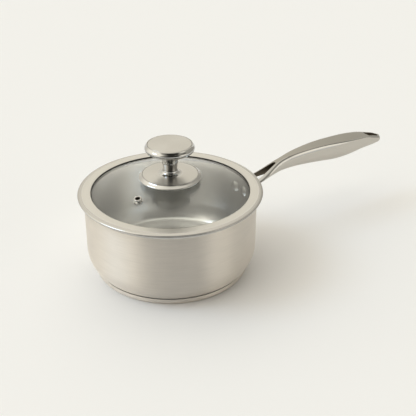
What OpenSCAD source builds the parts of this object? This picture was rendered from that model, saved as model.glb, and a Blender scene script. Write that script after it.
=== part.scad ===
// Saucepan with a domed glass lid. The origin is the centre of the base's underside, +Z is up
// and the handle points along +X. All sizes are in millimetres.

/* [Pan] */
// Outside diameter of the pan's upright wall
pan_d = 164; // [140:1:200]
// Height of the pan's rim above the floor
pan_h = 79; // [70:0.5:120]
// Thickness of the drawn steel sheet
wall_t = 0.8; // [0.6:0.1:1.2]
// Outside radius of the large curve from the wall into the floor
corner_r = 30; // [22:1:32]
// Outside radius of the small curve that ends at the flat floor
floor_r = 8; // [5:0.5:10]
// Radius of the flare below the pouring rim
flare_r = 4; // [3:0.5:6]
// Width of the flat lip outside the flare
lip_w = 1; // [0.5:0.1:2]

/* [Base] */
// Distance of the steel cap's edge inside the pan's wall
cap_inset = 8; // [6:0.5:12]
// Distance of the flat floor's edge inside the cap's edge
floor_inset = 4.2; // [3:0.1:6]
// Sheet thickness of the cap
cap_t = 0.6; // [0.4:0.1:1]
// Thickness of the aluminium disc inside the cap
core_t = 4.4; // [3:0.1:7]
// Radius of the cap's lower edge
cap_edge_r = 1.6; // [1:0.1:2.5]

/* [Handle] */
// Reach of the handle from the pan's wall to its tip
handle_len = 190.5; // [150:0.5:230]
// Length of the forked root, from the wall to the end of its slot
fork_len = 44; // [36:1:56]
// Distance of the rivets below the rim
rivet_drop = 22; // [18:0.5:26]
// Height of the legs' top above the rivets at the wall
leg_rise = 7.4; // [6.5:0.1:9]
// Height of the neck's top above the rivets
neck_rise = 19; // [16:0.5:24]
// Height of the grip's highest point above the rivets
crown_rise = 25.8; // [22:0.2:34]
// Drop of the top line from the highest point to the tip
end_drop = 10.3; // [4:0.1:14]
// Depth of a leg at the wall
leg_h = 3.9; // [3:0.1:5]
// Depth of the neck where the fork ends
neck_h = 11.2; // [9:0.2:14]
// Greatest depth of the grip
grip_h = 20.5; // [15:0.5:24]
// Depth of the handle at its tip
tip_h = 5.5; // [4:0.5:8]
// Width over the two legs at the wall
root_w = 24.5; // [22:0.5:28]
// Width of the neck past the fork
neck_w = 9.8; // [8.5:0.1:12]
// Greatest width of the grip
grip_w = 21.2; // [18:0.2:25]
// Width of the rounded end
end_w = 16; // [14.5:0.1:17.5]
// Thickness of each leg
leg_w = 4; // [3:0.1:4.2]
// Thickness of the loop around the hanging eye
eye_wall = 2.8; // [2.2:0.1:3.6]
// Length of the hanging eye
eye_len = 17; // [12:0.5:20]
// Width of the polished bevel along each top edge
bevel_w = 1.6; // [1:0.1:2]
// Fall of the bevel along the neck and grip
bevel_h = 3.4; // [1.5:0.1:3.8]
// Thickness of the foot against the pan's wall
foot_t = 3; // [2.4:0.1:4]
// Height of the foot
foot_h = 14.5; // [14:0.5:17]
// Corner radius of the foot
foot_r = 3; // [2:0.5:5]

/* [Rivets] */
// Distance between the two rivets along the wall
rivet_pitch = 14.6; // [13:0.2:16]
// Diameter of a rivet's shank
rivet_d = 4.8; // [4:0.1:5.5]
// Diameter of a rivet's domed head inside the pan
rivet_head_d = 11; // [9:0.5:12]
// Height of the domed head
rivet_head_h = 1.8; // [1.2:0.1:2.5]
// Diameter of a rivet's closed end under the leg
rivet_tail_d = 6.6; // [6:0.1:6.8]
// Height of the closed end
rivet_tail_h = 1.1; // [0.8:0.1:1.5]

/* [Lid] */
// Overhang of the lid's band past the pan's lip
band_over = 0.7; // [0.3:0.1:2]
// Width of the flat top of the band, over the glass edge
band_flat_w = 6; // [5:0.1:8]
// Height of the band's overhang above its seat
band_h = 2; // [1.8:0.1:3]
// Sheet thickness of the band
band_t = 0.5; // [0.4:0.1:0.7]
// Depth of the band's skirt below its seat
skirt_h = 5.6; // [5.4:0.1:8]
// Rise of the glass from the band to its middle
dome_rise = 12; // [8:0.5:18]
// Thickness of the glass
glass_t = 4; // [3.5:0.1:4.4]
// Thickness of the seal between the glass and the band
seal_t = 0.45; // [0.3:0.05:0.6]
// How far the seal shows inside the band
seal_lip = 0.5; // [0.3:0.1:1]
// How far the band's flat top runs out past its skirt
band_step = 1.1; // [0.6:0.1:1.6]

/* [Steam vent] */
// Distance of the vent from the lid's middle
vent_pos = 44.9; // [35:0.1:60]
// Direction of the vent, turned from the handle's side
vent_angle = 197.5; // [0:0.5:360]
// Diameter of the steam hole
vent_hole_d = 4.3; // [2.5:0.1:5]
// Wall of the vent's tube
vent_tube_t = 0.7; // [0.5:0.1:1]
// Diameter of the vent's flange
vent_flange_d = 7.8; // [7.5:0.1:10]
// Thickness of the flange
vent_flange_t = 1; // [0.8:0.1:1.5]
// Diameter of the ring under the glass
vent_ring_d = 8.4; // [8:0.1:11]
// Thickness of the ring under the glass
vent_ring_t = 0.8; // [0.6:0.1:1.2]

/* [Knob] */
// Diameter of the knob's head
head_d = 46.8; // [40:0.2:56]
// Diameter of the satin plate in the head
head_plate_d = 41; // [34:0.5:42]
// Thickness of the head, from its underside to its satin plate
head_h = 10.4; // [8:0.2:12]
// Diameter of the knob's skirt
skirt_d = 59.6; // [52:0.2:66]
// Diameter of the satin plate on the skirt
skirt_plate_d = 52; // [44:0.5:53]
// Thickness of the skirt at its middle
skirt_t = 5; // [4.4:0.1:7]
// Height of the foot that flares onto the skirt
foot_ring_h = 3.6; // [3:0.2:8]
// Height of the collar around the stem
collar_h = 7.2; // [6:0.2:10]
// Height of the neck below the head
neck_len = 8.2; // [7.8:0.2:12]
// Diameter of the foot on the skirt
stem_foot_d = 24; // [16:0.2:26]
// Smallest diameter of the stem
stem_waist_d = 13.4; // [12.8:0.1:15]
// Diameter of the stem below the head
stem_top_d = 17; // [15:0.2:20]
// Sheet thickness of the hollow head and skirt
shell_t = 0.9; // [0.7:0.1:1.1]
// Thickness of the satin plates
plate_t = 0.9; // [0.7:0.1:1.2]

/* [Knob fastening] */
// Diameter of the screw's shank
screw_d = 5; // [4:0.1:5.5]
// Diameter of the screw's head
screw_head_d = 9.6; // [8.5:0.1:12]
// Height of the screw's head
screw_head_h = 3; // [2:0.1:4]
// Depth of the slot across the screw's head
screw_slot_h = 1.2; // [0.8:0.1:1.5]
// Width of the slot across the screw's head
screw_slot_w = 1.4; // [1:0.1:2]
// Diameter of the threaded insert in the head
insert_d = 9.6; // [8.6:0.1:10]
// Length of the threaded insert
insert_h = 9; // [6:0.5:10]
// Diameter of the soft bush in the glass
bush_d = 10.4; // [9.6:0.1:13]
// Diameter of the soft washers on both sides of the glass
gasket_d = 24; // [20:0.5:30]
// Thickness of each soft washer
gasket_t = 1; // [0.6:0.1:1.5]
// Diameter of the steel washer
washer_d = 21; // [16:0.5:26]
// Thickness of the steel washer
washer_t = 1; // [0.8:0.1:1.5]

/* [Fits] */
// Gap between round pieces that are fixed together
fixed_gap = 0.05; // [0.02:0.01:0.08]
// Gap between the screw and the holes it passes through
screw_gap = 0.25; // [0.1:0.05:0.4]
// Gap between the seated lid and the pan's lip
seat_gap = 0.3; // [0.2:0.05:0.5]
// Gap between the band's skirt and the pan's wall
mouth_gap = 0.8; // [0.5:0.1:1.2]

/* [Hidden] */

turn_fn = 96; // smoothness of turned pieces
fine_fn = 32; // smoothness of small round features
past = 1; // how far a cutting shape runs past what it cuts

steel = [0.76, 0.74, 0.71];
polished = [0.86, 0.86, 0.86];
soft = [0.16, 0.16, 0.16];

// ---- pan and base ----
wall_r = pan_d / 2;
base_h = cap_t + core_t;
flare_z = pan_h - wall_t - flare_r;
lip_r = wall_r + flare_r + lip_w;
cap_r = wall_r - cap_inset;
rivet_z = pan_h - rivet_drop;

// The small curve's centre is over the flat floor's edge, and the large curve's centre is where
// the two curves run into each other without a corner.
floor_edge_r = cap_r - floor_inset;
curve_dr = floor_edge_r - (wall_r - corner_r);
curve_dz = sqrt(pow(corner_r - floor_r, 2) - pow(curve_dr, 2));
curve_turn = atan2(curve_dz, curve_dr);
corner_z = base_h + floor_r + curve_dz;

// Points of an arc about [cr, cz], from angle a0 to a1, in n steps.
function arc(cr, cz, r, a0, a1, n) =
    [for (i = [0:n]) let (a = a0 + (a1 - a0) * i / n) [cr + r * cos(a), cz + r * sin(a)]];
function all_but_first(line) = [for (i = [1:len(line) - 1]) line[i]];
function reversed(line) = [for (i = [len(line) - 1:-1:0]) line[i]];

// Line of the floor and wall at depth t in the sheet, from the middle out to the lip.
function pan_line(t) = concat(
    [[0, base_h + t]],
    arc(floor_edge_r, base_h + floor_r, floor_r - t, -90, -curve_turn, 5),
    all_but_first(arc(wall_r - corner_r, corner_z, corner_r - t, -curve_turn, 0, 9)),
    arc(wall_r + flare_r, flare_z, flare_r + t, 180, 90, 6),
    [[lip_r, flare_z + flare_r + t]]);

module pan_body() {
    color(steel) difference() {
        rotate_extrude($fn = turn_fn) polygon(concat(pan_line(0), reversed(pan_line(wall_t))));
        at_rivets() translate([0, 0, -wall_t - past])
            cylinder(d = rivet_d + 2 * fixed_gap, h = 2 * (wall_t + past), $fn = fine_fn);
    }
}

module base_core() {
    color("silver") translate([0, 0, cap_t])
        cylinder(r = cap_r - cap_t - fixed_gap, h = core_t, $fn = turn_fn);
}

module base_cap() {
    color(steel) rotate_extrude($fn = turn_fn) polygon(concat(
        [[0, 0]],
        arc(cap_r - cap_edge_r, cap_edge_r, cap_edge_r, -90, 0, 4),
        [[cap_r, base_h], [cap_r - cap_t, base_h], [cap_r - cap_t, cap_t], [0, cap_t]]));
}

// ---- rivets ----
rivet_turn = asin(rivet_pitch / 2 / wall_r);

// Places what follows at both rivets, with +Z pointing out of the wall from its outside face.
module at_rivets() {
    for (side = [-1, 1])
        rotate([0, 0, side * rivet_turn]) translate([wall_r, 0, rivet_z]) rotate([0, 90, 0]) children();
}

module handle_rivets() {
    inner_face = wall_t + pow(rivet_head_d / 2, 2) / (2 * (wall_r - wall_t)) + fixed_gap;
    outer_face = foot_t + 2 * fixed_gap;
    dome = (pow(rivet_head_d / 2, 2) + pow(rivet_head_h, 2)) / (2 * rivet_head_h);
    dome_turn = asin(rivet_head_d / 2 / dome);
    color(polished) at_rivets() rotate_extrude($fn = fine_fn) polygon(concat(
        arc(0, -inner_face - rivet_head_h + dome, dome, -90, -90 + dome_turn, 5),
        [[rivet_d / 2, -inner_face], [rivet_d / 2, outer_face], [rivet_tail_d / 2, outer_face],
            [rivet_tail_d / 2 - rivet_tail_h / 2, outer_face + rivet_tail_h],
            [0, outer_face + rivet_tail_h]]));
}

// ---- handle ----
grip_len = handle_len - fork_len;
end_x = handle_len - end_w / 2;

// Height on a smooth line through points [x, y], at x.
function slope(p, i) = let (a = p[max(i - 1, 0)], b = p[min(i + 1, len(p) - 1)])
    (b[1] - a[1]) / (b[0] - a[0]);
function on_line(p, x) = let (
    i = max(concat([0], [for (k = [0:len(p) - 2]) if (x >= p[k][0]) k])),
    w = p[i + 1][0] - p[i][0], h = (x - p[i][0]) / w)
    (2 * h * h * h - 3 * h * h + 1) * p[i][1] + (h * h * h - 2 * h * h + h) * w * slope(p, i)
    + (3 * h * h - 2 * h * h * h) * p[i + 1][1] + (h * h * h - h * h) * w * slope(p, i + 1);

edge_left = 0.3; // flat left inside a bevel that takes the whole top
bevel_swell = 0.4; // where the bevels' rounded middle lies, as a share of their width and fall
loop_fall = 0.5 * eye_wall; // fall of the bevel around the eye

// Lines along the handle. The first value is the distance from the pan's wall, as a share of
// the fork and then of the grip, and the second is a height, depth or half width.
function fork_at(f) = f * fork_len;
function grip_at(f) = fork_len + f * grip_len;
top_line = [
    [fork_at(0), leg_rise],
    [fork_at(0.27), leg_rise + 0.05 * (neck_rise - leg_rise)],
    [fork_at(0.52), leg_rise + 0.25 * (neck_rise - leg_rise)],
    [fork_at(1), neck_rise],
    [grip_at(0.09), neck_rise + 0.52 * (crown_rise - neck_rise)],
    [grip_at(0.2), neck_rise + 0.84 * (crown_rise - neck_rise)],
    [grip_at(0.37), crown_rise],
    [grip_at(0.55), crown_rise - 0.08 * end_drop],
    [grip_at(0.72), crown_rise - 0.23 * end_drop],
    [grip_at(0.86), crown_rise - 0.5 * end_drop],
    [grip_at(1), crown_rise - end_drop]];
depth_line = [
    [fork_at(0), leg_h],
    [fork_at(0.52), leg_h + 0.18 * (neck_h - leg_h)],
    [fork_at(1), neck_h],
    [grip_at(0.2), neck_h + 0.5 * (grip_h - neck_h)],
    [grip_at(0.5), grip_h],
    [grip_at(0.64), tip_h + 0.93 * (grip_h - tip_h)],
    [grip_at(0.78), tip_h + 0.65 * (grip_h - tip_h)],
    [grip_at(0.9), tip_h + 0.38 * (grip_h - tip_h)],
    [grip_at(1), tip_h]];
width_line = [
    [fork_at(0), root_w / 2],
    [fork_at(0.5), neck_w / 2 + 0.62 * (root_w - neck_w) / 2],
    [fork_at(1), neck_w / 2 + 0.1 * (root_w - neck_w) / 2],
    [grip_at(0.07), neck_w / 2],
    [grip_at(0.17), neck_w / 2 + 0.2 * (grip_w - neck_w) / 2],
    [grip_at(0.4), neck_w / 2 + 0.7 * (grip_w - neck_w) / 2],
    [grip_at(0.65), grip_w / 2],
    [grip_at(0.78), end_w / 2 + 0.75 * (grip_w - end_w) / 2],
    [end_x, end_w / 2]];
bevel_fall_line = [
    [fork_at(0), 0.35 * leg_h],
    [fork_at(1), bevel_h],
    [grip_at(0.45), bevel_h],
    [grip_at(0.66), 0.4 * bevel_h],
    [grip_at(0.83), 0.15 * bevel_h],
    [grip_at(0.89), loop_fall],
    [grip_at(1), loop_fall]];
// The bevels take the whole top of the legs and of the loop.
bevel_width_line = [
    [fork_at(0), leg_w - edge_left],
    [fork_at(0.6), leg_w - edge_left],
    [fork_at(1), 0.5 * leg_w + 0.5 * bevel_w],
    [grip_at(0.13), bevel_w],
    [grip_at(0.83), bevel_w],
    [grip_at(0.89), eye_wall - edge_left],
    [grip_at(1), eye_wall - edge_left]];

// Half width, rounded as a half circle about end_x at the tip.
tip_flat = 1.2; // half width left at the very tip
function half_width(x) = x <= end_x ? on_line(width_line, x)
    : max(tip_flat, end_w / 2 * sqrt(max(0, 1 - pow((x - end_x) / (end_w / 2), 2))));

// Cross-section of the handle at x: a flat top, a bevel on each side, upright cheeks and a
// rounded belly.
function cross_section(x) = let (
    w = half_width(x), t = on_line(depth_line, x), z = on_line(top_line, x),
    b = min(on_line(bevel_width_line, x), 0.45 * w), v = on_line(bevel_fall_line, x),
    half = [[w - b, 0], [w - bevel_swell * b, -bevel_swell * v], [w, -v], [1.02 * w, -0.45 * t],
        [0.96 * w, -0.68 * t], [0.8 * w, -0.87 * t], [0.5 * w, -0.97 * t], [0.17 * w, -t]])
    concat([for (p = half) [x, p[0], z + p[1]]], [for (p = reversed(half)) [x, -p[0], z + p[1]]]);

root_x = foot_t / 2;
station_gap = 4.5; // distance between cross-sections
station_count = round((end_x - root_x) / station_gap);
function stations() = concat(
    [for (i = [0:station_count]) root_x + i * (end_x - root_x) / station_count],
    [for (a = [15:15:75]) end_x + end_w / 2 * sin(a)],
    [handle_len]);

module handle_blank() {
    rings = [for (x = stations()) cross_section(x)];
    n = len(rings[0]);
    last = (len(rings) - 1) * n;
    polyhedron(
        points = [for (ring = rings, p = ring) p],
        faces = concat(
            [[for (i = [n - 1:-1:0]) i], [for (i = [0:n - 1]) last + i]],
            [for (s = [0:len(rings) - 2], i = [0:n - 1], k = [0, 1]) let (
                a = s * n + i, b = s * n + (i + 1) % n)
                k == 0 ? [a, b, b + n] : [a, b + n, a + n]]));
}

// Slot between the legs, which follows their thickness and ends in a half circle.
slot_end_r = 1.8;
slot_end_x = fork_len - slot_end_r;
module fork_slot() {
    slot_x0 = foot_t;
    steps = 8;
    side = [for (i = [0:steps]) let (x = slot_x0 + (slot_end_x - slot_x0) * i / steps)
        [x, i == steps ? slot_end_r : max(slot_end_r, half_width(x) - leg_w)]];
    linear_extrude(height = 2 * crown_rise, center = true) union() {
        polygon(concat(side, [for (i = [steps:-1:0]) [side[i][0], -side[i][1]]]));
        translate([slot_end_x, 0]) circle(r = slot_end_r, $fn = fine_fn);
    }
}

// Hanging eye: straight towards the grip and round at the tip.
eye_r = end_w / 2 - eye_wall;
module hanging_eye() {
    eye_out = handle_len - eye_wall;
    linear_extrude(height = 4 * crown_rise, center = true) union() {
        translate([eye_out - eye_r, 0]) circle(r = eye_r, $fn = fine_fn);
        translate([eye_out - eye_len, -eye_r]) square([eye_len - eye_r, 2 * eye_r]);
    }
}

// Foot that lies against the wall and carries both legs.
foot_below = 3; // foot left below a rivet's closed end
foot_over = 1; // foot left beside each leg
foot_z0 = -(rivet_tail_d / 2 + foot_below);
module handle_foot() {
    foot_w = root_w + 2 * foot_over;
    intersection() {
        translate([0, 0, -foot_h]) rotate_extrude($fn = turn_fn)
            translate([wall_r + fixed_gap, 0]) square([foot_t, 3 * foot_h]);
        translate([wall_r - foot_t, 0, foot_z0]) rotate([90, 0, 90])
            linear_extrude(height = 3 * foot_t) union() {
                translate([-foot_w / 2 + foot_r, 0]) square([foot_w - 2 * foot_r, foot_h]);
                translate([-foot_w / 2, foot_r]) square([foot_w, foot_h - 2 * foot_r]);
                for (y = [-1, 1], z = [foot_r, foot_h - foot_r])
                    translate([y * (foot_w / 2 - foot_r), z]) circle(r = foot_r, $fn = fine_fn);
            }
    }
}

module handle() {
    color(steel) difference() {
        translate([0, 0, rivet_z]) union() {
            difference() {
                translate([wall_r, 0, 0]) handle_blank();
                translate([wall_r, 0, 0]) fork_slot();
                translate([wall_r, 0, 0]) hanging_eye();
            }
            handle_foot();
        }
        at_rivets() translate([0, 0, -past])
            cylinder(d = rivet_d + 2 * fixed_gap, h = foot_t + 2 * past, $fn = fine_fn);
    }
}

// ---- lid ----
seat_z = pan_h + seat_gap;
band_top = seat_z + band_h;
band_r = lip_r + band_over;
skirt_r = wall_r - wall_t - mouth_gap;
window_r = skirt_r + band_step - band_flat_w;
skirt_z = seat_z - skirt_h;
glass_edge_r = skirt_r - band_t - seal_t - 2 * fixed_gap;

// Sphere of the glass: its top face passes under the band at the window's edge.
window_z = band_top - band_t - seal_t - fixed_gap;
dome_r = (window_r * window_r + dome_rise * dome_rise) / (2 * dome_rise);
dome_cz = window_z + dome_rise - dome_r;
function glass_top(r) = dome_cz + sqrt(dome_r * dome_r - r * r);
function glass_under(r) = dome_cz + sqrt(pow(dome_r - glass_t, 2) - r * r);
apex_z = glass_top(0);

glass_rings = 14; // steps from the hole to the edge of the glass
glass_hole_r = bush_d / 2 + fixed_gap;
function glass_ring(i) = glass_hole_r + (glass_edge_r - glass_hole_r) * i / glass_rings;

module lid_glass() {
    color([0.8, 0.88, 0.86, 0.4]) difference() {
        rotate_extrude($fn = turn_fn) polygon(concat(
            [for (i = [0:glass_rings]) [glass_ring(i), glass_top(glass_ring(i))]],
            [for (i = [glass_rings:-1:0]) [glass_ring(i), glass_under(glass_ring(i))]]));
        at_vent() translate([0, 0, -glass_t - past])
            cylinder(r = vent_tube_r + fixed_gap, h = glass_t + 2 * past, $fn = fine_fn);
    }
}

// Band: one strip of sheet, rolled over the glass edge and folded out over the pan's lip.
module lid_band() {
    fold_r = (band_h - band_t) / 2;
    step_r = skirt_r + band_step;
    color(steel) rotate_extrude($fn = turn_fn) polygon(concat(
        [[window_r, band_top], [step_r, band_top]],
        arc(band_r - fold_r, seat_z + fold_r, fold_r, 90, -90, 6),
        [[skirt_r, seat_z], [skirt_r, skirt_z], [window_r, skirt_z], [window_r, skirt_z + band_t],
            [skirt_r - band_t, skirt_z + band_t], [skirt_r - band_t, seat_z + band_t]],
        arc(band_r - fold_r, seat_z + fold_r, fold_r - band_t, -90, 90, 6),
        [[step_r, band_top - band_t], [window_r, band_top - band_t]]));
}

// Seal: a soft channel between the glass edge and the band.
module band_seal() {
    top_z = band_top - band_t - fixed_gap;
    low_z = skirt_z + band_t + fixed_gap;
    out_r = skirt_r - band_t - fixed_gap;
    in_r = window_r - seal_lip;
    groove_r = glass_edge_r + fixed_gap;
    held = [for (i = [0:3]) in_r + (glass_edge_r - in_r) * i / 3];
    color(soft) rotate_extrude($fn = turn_fn) polygon(concat(
        [[in_r, top_z], [out_r, top_z], [out_r, low_z], [in_r, low_z]],
        [for (r = held) [r, glass_under(r) - fixed_gap]],
        [[groove_r, glass_under(glass_edge_r)], [groove_r, glass_top(glass_edge_r)]],
        [for (r = reversed(held)) [r, glass_top(r) + fixed_gap]]));
}

// ---- steam vent ----
vent_tube_r = vent_hole_d / 2 + vent_tube_t;
vent_slope = asin(vent_pos / dome_r);

// Places what follows on the glass's top face at the vent, with +Z square to the glass.
module at_vent() {
    rotate([0, 0, vent_angle]) translate([vent_pos, 0, glass_top(vent_pos)]) rotate([0, vent_slope, 0])
        children();
}

module vent_eyelet() {
    seat = 2 * fixed_gap;
    low = glass_t + vent_ring_t + 3 * fixed_gap;
    fold = vent_tube_t;
    round_r = vent_flange_t * 0.6;
    color(polished) at_vent() rotate_extrude($fn = fine_fn) polygon(concat(
        [[vent_hole_d / 2, -low - fold], [vent_tube_r + fold, -low - fold], [vent_tube_r + fold, -low],
            [vent_tube_r, -low], [vent_tube_r, seat], [vent_flange_d / 2, seat]],
        arc(vent_flange_d / 2 - round_r, seat + vent_flange_t - round_r, round_r, 0, 90, 3),
        [[vent_hole_d / 2 + round_r / 2, seat + vent_flange_t],
            [vent_hole_d / 2, seat + vent_flange_t - round_r / 2]]));
}

module vent_ring() {
    color(polished) at_vent() translate([0, 0, -glass_t - vent_ring_t - 2 * fixed_gap]) difference() {
        cylinder(d = vent_ring_d, h = vent_ring_t, $fn = fine_fn);
        translate([0, 0, -past])
            cylinder(r = vent_tube_r + fixed_gap, h = vent_ring_t + 2 * past, $fn = fine_fn);
    }
}

// ---- knob ----
bore_r = screw_d / 2 + screw_gap;
skirt_z0 = apex_z + gasket_t;
skirt_top = skirt_z0 + skirt_t;
collar_z = skirt_top + foot_ring_h;
neck_z = collar_z + collar_h;
head_z = neck_z + neck_len;
head_top = head_z + head_h;
waist_r = stem_waist_d / 2;

// Turned ring with a bore for the screw: its outside runs through points [r, z].
module turned(outside, bore) {
    rotate_extrude($fn = turn_fn) polygon(concat(
        [[bore, outside[0][1]]], outside, [[bore, outside[len(outside) - 1][1]]]));
}

// Foot of the stem, which flares onto the skirt.
module knob_foot() {
    flare = stem_foot_d / 2 - waist_r - 0.4;
    color(polished) turned(concat(
        [for (i = [0:6]) let (a = 90 * i / 6)
            [stem_foot_d / 2 - flare * sin(a), skirt_top + foot_ring_h * (1 - cos(a)) * 0.86]],
        [[waist_r + 0.3, collar_z]]), bore_r);
}

module knob_collar() {
    color(polished) turned([
        [waist_r, collar_z], [waist_r, collar_z + 0.2 * collar_h],
        [waist_r + 0.25, collar_z + 0.6 * collar_h], [waist_r + 0.7, neck_z]], bore_r);
}

// Hollow head: the neck, the underside, the rounded edge and a seat for the satin plate.
head_r = head_d / 2;
head_seat_r = head_plate_d / 2 + fixed_gap;
head_ledge = 1.5; // width of the ledge under the head's plate
module knob_head() {
    edge_z = head_z + 0.62 * head_h;
    color(polished) rotate_extrude($fn = turn_fn) polygon(concat(
        [[insert_d / 2 + fixed_gap, neck_z], [waist_r + 0.9, neck_z]],
        [for (i = [1:4]) let (a = 90 * i / 4)
            [waist_r + 0.9 + (stem_top_d / 2 - waist_r - 0.9) * (1 - cos(a)), neck_z + neck_len * sin(a)]],
        [[stem_top_d / 2 + 4, head_z + 0.12 * head_h], [head_r - 4.5, head_z + 0.2 * head_h],
            [head_r - 1.7, head_z + 0.34 * head_h], [head_r - 0.4, head_z + 0.5 * head_h],
            [head_r, edge_z], [head_r - 0.3, head_z + 0.74 * head_h],
            [head_r - 1.3, head_z + 0.87 * head_h],
            [head_seat_r + 0.6, head_top - 0.2], [head_seat_r, head_top - 0.1],
            [head_seat_r, head_top - plate_t - fixed_gap],
            [head_seat_r - head_ledge, head_top - plate_t - fixed_gap],
            [head_seat_r - head_ledge, head_top - plate_t - shell_t], [head_r - 2.4, edge_z],
            [head_r - 3.6, head_z + 0.2 * head_h + shell_t],
            [insert_d / 2 + 1, head_z + 0.1 * head_h + shell_t],
            [insert_d / 2 + fixed_gap, head_z + 0.1 * head_h + shell_t]]));
}

plate_crown = 0.5; // rise of the head's plate at its middle
module knob_plate() {
    color(steel) translate([0, 0, head_top - plate_t]) rotate_extrude($fn = turn_fn) polygon([
        [0, 0], [head_plate_d / 2, 0], [head_plate_d / 2, plate_t],
        [head_plate_d / 3, plate_t + 0.55 * plate_crown], [head_plate_d / 6, plate_t + 0.9 * plate_crown],
        [0, plate_t + plate_crown]]);
}

// Hollow skirt: the polished pan that stands on the soft washer and holds the satin plate.
skirt_seat_r = skirt_plate_d / 2 + fixed_gap;
skirt_ledge = 1.2; // width of the ledge under the skirt's plate
plate_fall = 0.9; // fall of the skirt's plate from its middle to its edge
plate_edge_z = skirt_top - plate_fall;
module skirt_shell() {
    r = skirt_d / 2;
    wide_z = skirt_z0 + 0.3 * skirt_t;
    color(polished) rotate_extrude($fn = turn_fn) polygon([
        [bore_r, skirt_z0], [gasket_d / 2 + 1, skirt_z0], [r - 6, skirt_z0 - 0.6],
        [r - 2.5, skirt_z0 - 0.3],
        [r - 0.6, wide_z - 0.9], [r, wide_z], [r - 0.3, wide_z + 0.6], [r - 1.5, wide_z + 1.3],
        [skirt_seat_r + 0.5, plate_edge_z - 0.1], [skirt_seat_r, plate_edge_z],
        [skirt_seat_r, plate_edge_z - plate_t - fixed_gap],
        [skirt_seat_r - skirt_ledge, plate_edge_z - plate_t - fixed_gap],
        [r - 5, wide_z + 0.2], [r - 5.5, skirt_z0 + shell_t - 0.5], [gasket_d / 2 + 1, skirt_z0 + shell_t],
        [bore_r + 3, skirt_z0 + shell_t], [bore_r + 3, skirt_top - plate_t - fixed_gap],
        [bore_r, skirt_top - plate_t - fixed_gap]]);
}

module skirt_plate() {
    r = skirt_plate_d / 2;
    flat_r = stem_foot_d / 2 + 1;
    mid_z = plate_edge_z + 0.6 * plate_fall;
    color(steel) rotate_extrude($fn = turn_fn) polygon([
        [bore_r, skirt_top - plate_t], [flat_r, skirt_top - plate_t], [0.7 * r, mid_z - plate_t],
        [r, plate_edge_z - plate_t], [r, plate_edge_z], [0.7 * r, mid_z], [flat_r, skirt_top],
        [bore_r, skirt_top]]);
}

// ---- knob fastening ----
insert_z = neck_z + 0.4; // the insert sits just inside the neck
module knob_insert() {
    color("goldenrod") translate([0, 0, insert_z]) difference() {
        cylinder(d = insert_d, h = insert_h, $fn = fine_fn);
        translate([0, 0, -past])
            cylinder(r = screw_d / 2 + fixed_gap, h = insert_h + 2 * past, $fn = fine_fn);
    }
}

under_z = glass_under(gasket_d / 2) - fixed_gap;
washer_z = under_z - gasket_t - washer_t;
module knob_screw() {
    screw_top = insert_z + insert_h - 1.4;
    color(polished) difference() {
        union() {
            translate([0, 0, washer_z - screw_head_h])
                cylinder(d = screw_head_d, h = screw_head_h, $fn = fine_fn);
            translate([0, 0, washer_z - past])
                cylinder(d = screw_d, h = screw_top - washer_z + past, $fn = fine_fn);
        }
        translate([-screw_head_d, -screw_slot_w / 2, washer_z - screw_head_h - past])
            cube([2 * screw_head_d, screw_slot_w, screw_slot_h + past]);
    }
}

module flat_ring(outer_r, inner_r, z, h) {
    translate([0, 0, z]) difference() {
        cylinder(r = outer_r, h = h, $fn = 64);
        translate([0, 0, -past]) cylinder(r = inner_r, h = h + 2 * past, $fn = fine_fn);
    }
}

module screw_washer() {
    color(polished) flat_ring(washer_d / 2, bore_r, washer_z, washer_t);
}

module upper_gasket() {
    r = gasket_d / 2;
    color(soft) rotate_extrude($fn = 64) polygon(concat(
        [[bore_r, skirt_z0], [r, skirt_z0]],
        [for (i = [4:-1:0]) let (x = bore_r + (r - bore_r) * i / 4) [x, glass_top(x) + fixed_gap]]));
}

module lower_gasket() {
    color(soft) flat_ring(gasket_d / 2, bore_r, under_z - gasket_t, gasket_t);
}

module glass_bush() {
    low = under_z + fixed_gap;
    color(soft) flat_ring(bush_d / 2, bore_r, low, glass_top(bush_d / 2) - low);
}

pan_body();
base_core();
base_cap();
handle();
handle_rivets();
lid_glass();
lid_band();
band_seal();
vent_eyelet();
vent_ring();
knob_head();
knob_plate();
knob_collar();
knob_foot();
skirt_shell();
skirt_plate();
knob_insert();
knob_screw();
screw_washer();
upper_gasket();
lower_gasket();
glass_bush();
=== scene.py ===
"""Looks of a saucepan with a domed glass lid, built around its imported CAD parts.

Sizes are in millimetres in the classes and become metres when a mesh is made. The origin is the
centre of the base's underside, the handle points along +X and the lid lifts along +Z.
"""

from __future__ import annotations

import logging
import math
from dataclasses import dataclass, field
from enum import Enum
from typing import Callable, Sequence

import bpy
from mathutils import Matrix, Vector

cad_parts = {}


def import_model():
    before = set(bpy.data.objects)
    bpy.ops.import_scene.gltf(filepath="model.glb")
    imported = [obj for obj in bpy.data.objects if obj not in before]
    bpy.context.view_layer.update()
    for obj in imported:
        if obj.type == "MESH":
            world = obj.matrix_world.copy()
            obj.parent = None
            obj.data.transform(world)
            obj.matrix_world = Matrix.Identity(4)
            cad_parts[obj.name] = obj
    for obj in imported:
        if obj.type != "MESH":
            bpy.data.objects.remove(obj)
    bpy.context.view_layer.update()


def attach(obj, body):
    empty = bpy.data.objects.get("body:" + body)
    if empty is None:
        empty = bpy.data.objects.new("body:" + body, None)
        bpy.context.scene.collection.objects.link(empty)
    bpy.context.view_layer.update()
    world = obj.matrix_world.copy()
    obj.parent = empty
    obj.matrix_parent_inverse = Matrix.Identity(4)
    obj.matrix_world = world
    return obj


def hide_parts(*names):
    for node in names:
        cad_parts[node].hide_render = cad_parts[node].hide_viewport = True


LOG = logging.getLogger("saucepan")
MM = 0.001
TURN_STEPS = 256
FINE_STEPS = 96
SHARP_ANGLE = math.radians(42)
SLOT_ANGLE = math.radians(30)
FINE_SHARE = 0.6
EASE_REACH = 0.42
EASE_SUPPORT = 0.15
BROAD_SCALE = 0.09
BRUSH_DEPTH = 0.00002
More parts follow.
